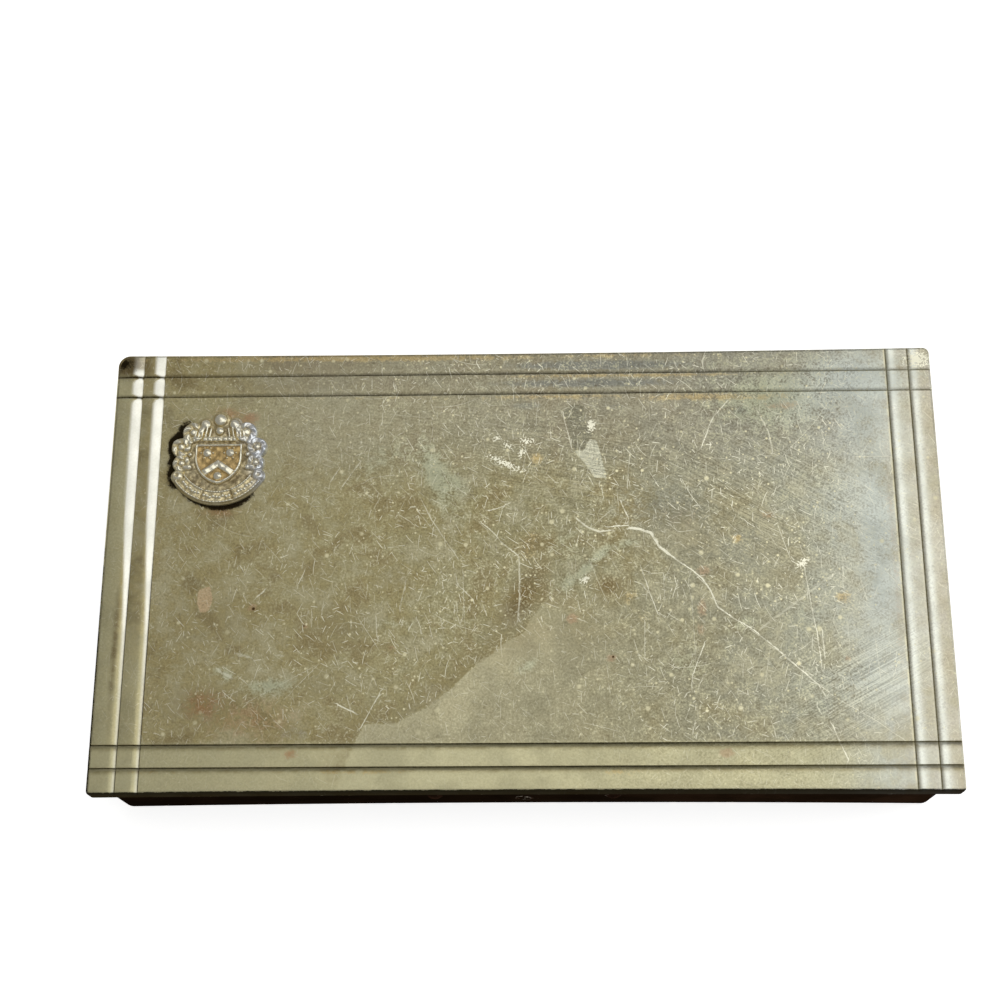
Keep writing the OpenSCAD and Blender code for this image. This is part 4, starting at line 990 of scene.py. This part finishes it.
# A painted glint along the crests of the steps
crest = bench.times(marks["crest"], bench.span(small_cloud, 0.1, 0.7, 0.25, 0.9))
dirt = bench.times(marks["foot"], bench.span(fine_cloud, 0.0, 1.0, 1.0, 0.8))
dirt_shade = bench.blend(bench.span(place_x, 20.0, 70.0), (42, 33, 12), (122, 112, 70))
# Painted shade: the badge's shadow, the dark bent-down edge and the back left corner
painted_shade = torn("grime", 0.25, 0.6, 0.5)
colour = bench.coats(colour, (painted_slope_highlight, 1, (255, 255, 244)), (dark_band, 1, (128, 112, 64)),
                     (crest, 1, (250, 242, 204)), (dirt, 1, dirt_shade),
                     (painted_shade, 0.96, (27, 19, 7)))

covered = bench.most(dirt, painted_shade)
rough = bench.math("ADD", bench.span(middle_cloud, 0.0, 1.0, 0.38, 0.48),
                   bench.times(marks["haze"], 0.12))
bench.cover(colour, bench.minus(bench.times(fine_cloud, 0.4), scored),
            strength=0.6, relief=0.02,
            Roughness=bench.math("ADD", rough, bench.times(covered, 0.3)),
            Metallic=bench.minus(0.92, bench.times(covered, 0.92)))
lid_pressing.data.materials.append(olive_plate)
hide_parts("lid_pressing")

# ---------------------------------------------------------------------------------------------
# A shallow pan of lacquered tin lines the lid. It is soldered up inside the skirt, where its
# flange meets the pressing, and its transparent lacquer has gone the colour of old gilt.

gilt, bench = finish("gilt_lacquer", metallic=0.5, roughness=0.34, coat=0.4, coat_roughness=0.22)
spread = bench.use(cloudiness, Size=18.0, Seed=81.0, Detail=5.0)
bloom = bench.use(cloudiness, Size=2.2, Seed=82.0, Detail=6.0, Low=0.55, High=0.75)
flow = bench.use(rubs, Angle=0.03, Length=30.0, Width=0.5, Low=0.4, High=0.7, Seed=83.0)
tick = bench.use(nicks, Pitch=6.0, Length=5.0, Width=0.14, Angle=0.4, Spread=3.1, Curve=0.2,
                 Share=0.5, Seed=5.0)
colour = bench.coats(bench.blend(spread, (216, 174, 88), (190, 144, 64)),
                     (flow, 0.25, (222, 184, 104)), (bloom, 0.5, (116, 80, 38)),
                     (tick, 0.7, (226, 214, 180)))
bench.cover(colour, bench.minus(bench.times(flow, 0.3), bench.times(tick, 0.6)),
            strength=0.4, Roughness=bench.span(bloom, 0.0, 1.0, 0.3, 0.5))
dress(gilt, "lid_lining_pan")

# ---------------------------------------------------------------------------------------------
# The lock's tongue is an angle of the same bare steel, fixed with two rivets through the lining
# pan. It hangs down inside the front, where its window takes the bolt.

dress(oiled_steel, "lock_tongue", "tongue_rivets")

# ---------------------------------------------------------------------------------------------
# The badge is struck in brass and silvered, with a plain invented coat of arms: a shield with a
# chevron and three roundels, balls over it, scrolled leaves and a beaded ribbon. Two copper lugs
# on its back pass through the lid and are riveted over inside.

badge_step = 0.1
u, v = np.meshgrid(np.arange(-10.4, 10.41, badge_step), np.arange(-11.4, 10.61, badge_step))


def disc(x, y, r):
    return np.hypot(u - x, v - y) - r


def bar(x0, y0, x1, y1):
    return np.maximum(np.maximum(x0 - u, u - x1), np.maximum(y0 - v, v - y1))


def shield_shape(width, top):
    r = 0.62 * width
    arcs = np.maximum(disc(width / 2 - r, 0, r), disc(r - width / 2, 0, r))
    return np.where(v > 0, np.maximum(abs(u) - width / 2, v - top), arcs)


ribbon_rise = 0.6
from_centre = disc(0, ribbon_rise, 0)
bearing = np.degrees(np.arctan2(u, ribbon_rise - v))


def ribbon_shape(inner, outer, half_angle):
    return np.maximum(np.maximum(inner - from_centre, from_centre - outer),
                      (abs(bearing) - half_angle) * from_centre * 0.0175)


def ease(shape, width):
    """Height of a rounded edge, from 0 outside the shape to 1 at width inside it."""
    t = np.clip(-shape / width, 0, 1)
    return np.sqrt(1 - (1 - t) ** 2)


def ball(x, y, r, h):
    return h * np.sqrt(np.clip(1 - (np.hypot(u - x, v - y) / r) ** 2, 0, 1))


leaves = [(5.3, 5.3, 2.3), (7.6, 2.2, 2.1), (7.4, -1.2, 1.9)]
balls = [(0, 8, 1.5), (-2.9, 7, 1.2), (2.9, 7, 1.2), (0, 5.6, 1.0)]
drops = [(5.9, 3.2, 0.62), (5.75, 0.6, 0.55), (5.9, -2.1, 0.7), (8.9, 0.5, 0.5), (7.2, 4.2, 0.45)]
roundels = [(-2.3, 0.9), (2.3, 0.9), (0, -4.0)]
outline = np.min([shield_shape(12.0, 4.0), bar(-6.8, -3.2, 6.8, 4.0), bar(-3.4, 2.8, 3.4, 7.4),
                  ribbon_shape(3.7, 10.6, 62)]
                 + [disc(s * x, y, r) for s in (-1, 1) for x, y, r in leaves + [(8, -3.9, 1.5)]]
                 + [disc(x, y, r + 0.45) for x, y, r in balls], axis=0)

# Leaves, sprays between the crown and the upper leaves, drops beside the shield, and the crown
forms = [np.zeros_like(u)]
for s in (-1, 1):
    for i, (x, y, r) in enumerate(leaves):
        away_from = disc(s * x, y, 0)
        turn = np.arctan2(v - y, (u - s * x) * s) + 0.9 * i
        lobes = 0.5 + 0.5 * np.cos(5 * turn + 2.4 * away_from)
        curl = (0.32 + 0.36 * lobes) * ease(away_from - 0.98 * r, 0.5)
        forms += [curl * smooth(0.25 * r, 0.5 * r, away_from), ball(s * x, y, 0.38 * r, 0.62)]
    for k in range(5):
        bx, by = s * (1.9 + 0.75 * k), 5.0 + 0.55 * math.sin(1.1 * k)
        tip = np.maximum(abs((u - bx) + 0.18 * s * (v - by)) - 0.26, abs(v - by) - 1.25)
        forms.append(0.62 * ease(tip, 0.24))
    forms += [ball(s * x, y, r, 0.72 * r + 0.2) for x, y, r in drops]
forms += [ball(x, y, 0.92 * r, 0.78) for x, y, r in balls]
crown = bar(-3.4, 3.3, 3.4, 4.3)
forms.append(0.5 * ease(crown, 0.3))
forms += [ball(-3 + k, 3.8, 0.38, 0.3) + 0.45 * (crown < 0) for k in range(7)]
raised = np.max(forms, axis=0)

body_shape, field_shape = shield_shape(9.6, 2.8), shield_shape(8.4, 2.2)
shield_rim = 0.8 * ease(body_shape, 0.45) * ease(-field_shape - 0.02, 0.3)
raised = np.where(body_shape < 0, shield_rim, raised)
chevron = np.maximum(abs(v + 1.4 + abs(u) * 0.68) - 0.85, field_shape)
charges = [0.02 * np.sin(9 * v) * (v > 0.2),
           0.36 * ease(chevron, 0.3) + 0.06 * ease(chevron + 0.45, 0.2)]
for x, y in roundels:
    charges.append(ball(x, y, 0.9, 0.5) + 0.08 * (disc(x, y, 0.3) < 0))
    if y > 0:
        charges += [ball(x + 1.18 * math.cos(a), y + 1.18 * math.sin(a), 0.24, 0.24)
                    for a in np.radians(range(0, 360, 60))]
field = (0.26 + np.max(charges, axis=0)) * ease(field_shape - 0.15, 0.15)
in_field = field_shape < 0.02
raised = np.where(in_field, np.maximum(field, 0), raised)

band = ribbon_shape(7.7, 10.3, 55)
rope = np.max([ease(abs(from_centre - r) - 0.25, 0.22) for r in (7.95, 10.05)], axis=0)
twist = 0.56 + 0.05 * np.cos(np.radians(bearing) * 95)
ribbon = np.maximum(0.34 * ease(band, 0.35), twist * rope * (band < 0.3))
crease_at = 19
ribbon -= 0.24 * smooth(1.7, 0.4, abs(abs(bearing) - crease_at)) * (band < 0.3)
for k in range(-12, 13):
    if abs(abs(4.1 * k) - crease_at) > 2.2:
        a, r = math.radians(4.1 * k), 9.0 + 0.14 * math.sin(2.3 * k)
        bead = ball(r * math.sin(a), ribbon_rise - r * math.cos(a), 0.33, 0.3)
        ribbon = np.maximum(ribbon, (0.34 + bead) * (bead > 0))
raised = np.where((band < 0.3) & (body_shape >= 0.25), np.maximum(ribbon, 0), raised)
for s in (-1, 1):
    curl_in = ball(s * 8.0, -3.9, 1.2, 0.62)
    hollow = 0.3 * smooth(0.55, 0.2, disc(s * 8.2, -3.7, 0))
    raised = np.maximum(raised, np.where(curl_in > 0, curl_in - hollow, 0))

plate = 0.7
chased = np.array([[noise.noise(Vector((x * 1.9, y * 1.9, 5.0))) for x, y in zip(ur, vr)]
                   for ur, vr in zip(u[::2, ::2], v[::2, ::2])])
chased = np.repeat(np.repeat(chased, 2, axis=0), 2, axis=1)[:u.shape[0], :u.shape[1]]
relief = plate + 0.05 * np.sin(3.1 * u) * np.sin(2.7 * v) + raised + 0.035 * chased
relief = np.where(outline < 0, relief, plate)
relief = plate * 0.45 + (relief - plate * 0.45) * ease(outline, 0.4)

# The plate is cut out along its outline, and a thin wall runs down from its edge into the lid
slope_v, slope_u = np.gradient(outline, badge_step)
steep = np.maximum(slope_u ** 2 + slope_v ** 2, 0.2)
cells = outline < 0.6 * badge_step
quads = cells[:-1, :-1] & cells[1:, :-1] & cells[:-1, 1:] & cells[1:, 1:]
used = np.zeros_like(cells)
for dr, dc in ((0, 0), (0, 1), (1, 0), (1, 1)):
    used[dr:dr + quads.shape[0], dc:dc + quads.shape[1]] |= quads
number = np.full(u.shape, -1)
number[used] = np.arange(used.sum())
badge_faces = [(number[r, c], number[r, c + 1], number[r + 1, c + 1], number[r + 1, c])
               for r, c in zip(*np.nonzero(quads))]
sides = dict.fromkeys((a, b) for face in badge_faces for a, b in zip(face, face[1:] + face[:1]))
sides = [(a, b) for a, b in sides if (b, a) not in sides]
on_edge = sorted({a for pair in sides for a in pair})
at_edge = np.isin(number, on_edge)
edge_u = np.where(at_edge, u - outline * slope_u / steep, u)[used]
edge_v = np.where(at_edge, v - outline * slope_v / steep, v)[used]
badge_points = np.column_stack([badge_x + edge_u, badge_y + edge_v,
                                lid_top - 0.02 + relief[used]])
badge_points[on_edge, 2] = lid_top + 0.28
feet = badge_points[on_edge].copy()
feet[:, 2] = lid_top - 0.12
foot_number = {a: len(badge_points) + i for i, a in enumerate(on_edge)}
badge_faces += [(a, foot_number[a], foot_number[b], b) for a, b in sides]

hollows = smooth(0.5, 0.12, raised[used]) * smooth(0.0, -0.6, outline[used])
# A painted bluish-white glint down the right side, where the edge catches the cool light
right_glint = (smooth(3.5, 8.5, u + 0.25 * v) * smooth(-2.2, -0.4, outline))[used]
no_feet = np.zeros(len(feet))
badge = sheet_piece("crest_relief", np.concatenate([badge_points, feet]), badge_faces, "lid",
                    crease=75, hollow=np.concatenate([hollows, no_feet + 1.0]),
                    gold=np.concatenate([(in_field & (raised < 0.42))[used], no_feet]),
                    height=np.concatenate([raised[used], no_feet]),
                    cool=np.concatenate([right_glint, right_glint[on_edge]]))

silvered, bench = finish("silvered_brass", metallic=0.8, roughness=0.24)
grain = bench.use(cloudiness, Size=0.7, Seed=91.0, Low=0.25, High=0.75)
drift = bench.use(cloudiness, Size=4.0, Seed=92.0)
# The raised tops are paler: rubbed bright, with a painted highlight on top
rubbed_and_highlit = bench.span(bench.mark("height"), 0.3, 0.62, 0.0, 0.95)
settled = bench.times(bench.mark("hollow"), bench.span(grain, 0.0, 1.0, 0.3, 0.8))
colour = bench.coats(bench.blend(drift, (238, 220, 166), (250, 238, 196)),
                     (bench.mark("gold"), 0.7, (226, 186, 110)),
                     (rubbed_and_highlit, 1, (255, 250, 228)),
                     (bench.mark("cool"), 0.75, (232, 240, 255)), (settled, 1, (92, 70, 32)))
bench.cover(colour, bench.times(grain, 0.4), Roughness=bench.scaled(settled, 0.3, 0.27),
            Metallic=bench.scaled(settled, -0.4, 0.72))
badge.data.materials.append(silvered)
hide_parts("crest_badge")

dress(worked_metal("lug_copper", (186, 118, 78), (130, 76, 48), 0.36, 95.0, 0.2), "badge_lugs")

# ---------------------------------------------------------------------------------------------
# A plain white table, one large soft light above and to the right, a cool low light beyond it,
# and the camera almost over the lid from the front.

table_mesh = bpy.data.meshes.new("table")
table_mesh.from_pydata([(-4, -4, 0), (4, -4, 0), (4, 4, 0), (-4, 4, 0)], [], [(0, 1, 2, 3)])
table = in_scene("table", table_mesh)
paper, bench = finish("white_table", roughness=0.85)
white = (1.0, 1.0, 1.0, 1.0)
bench.fill(paper.node_tree.nodes["Principled BSDF"], {
    "Base Color": tone(244, 244, 243), "Emission Color": white, "Emission Strength": 0.8})
table.data.materials.append(paper)


def soft_light(name, size, place, target, power, colour):
    data = bpy.data.lights.new(name, "AREA")
    data.shape, data.size, data.size_y = "RECTANGLE", size[0], size[1]
    data.energy, data.color = power, colour
    light = in_scene(name, data)
    light.location = place
    light.rotation_mode = "QUATERNION"
    light.rotation_quaternion = (Vector(target) - Vector(place)).to_track_quat("-Z", "Y")


soft_light("window", (1.3, 0.95), (0.42, 0.3, 1.0), (0.42, 0.3, 0.0), 4.7, (1.0, 0.985, 0.95))
soft_light("sky", (0.5, 0.9), (1.25, 0.15, 0.55), (0.0, 0.0, 0.02), 2.4, (0.86, 0.92, 1.0))
world = bpy.data.worlds.new("room")
world.use_nodes = True
Bench(world.node_tree).fill(world.node_tree.nodes["Background"],
                            {"Color": white, "Strength": 0.2})
bpy.context.scene.world = world
bpy.context.scene.view_settings.view_transform = "Standard"

camera_data = bpy.data.cameras.new("camera")
camera_data.lens, camera_data.sensor_width, camera_data.clip_start = 62.24, 36.0, 0.01
camera = in_scene("camera", camera_data)
camera.location = (0.004716, -0.097654, 0.347458)
camera.rotation_euler = [math.radians(a) for a in (18.8736, 1.5959, 0.027)]
bpy.context.scene.camera = camera

bpy.context.view_layer.update()
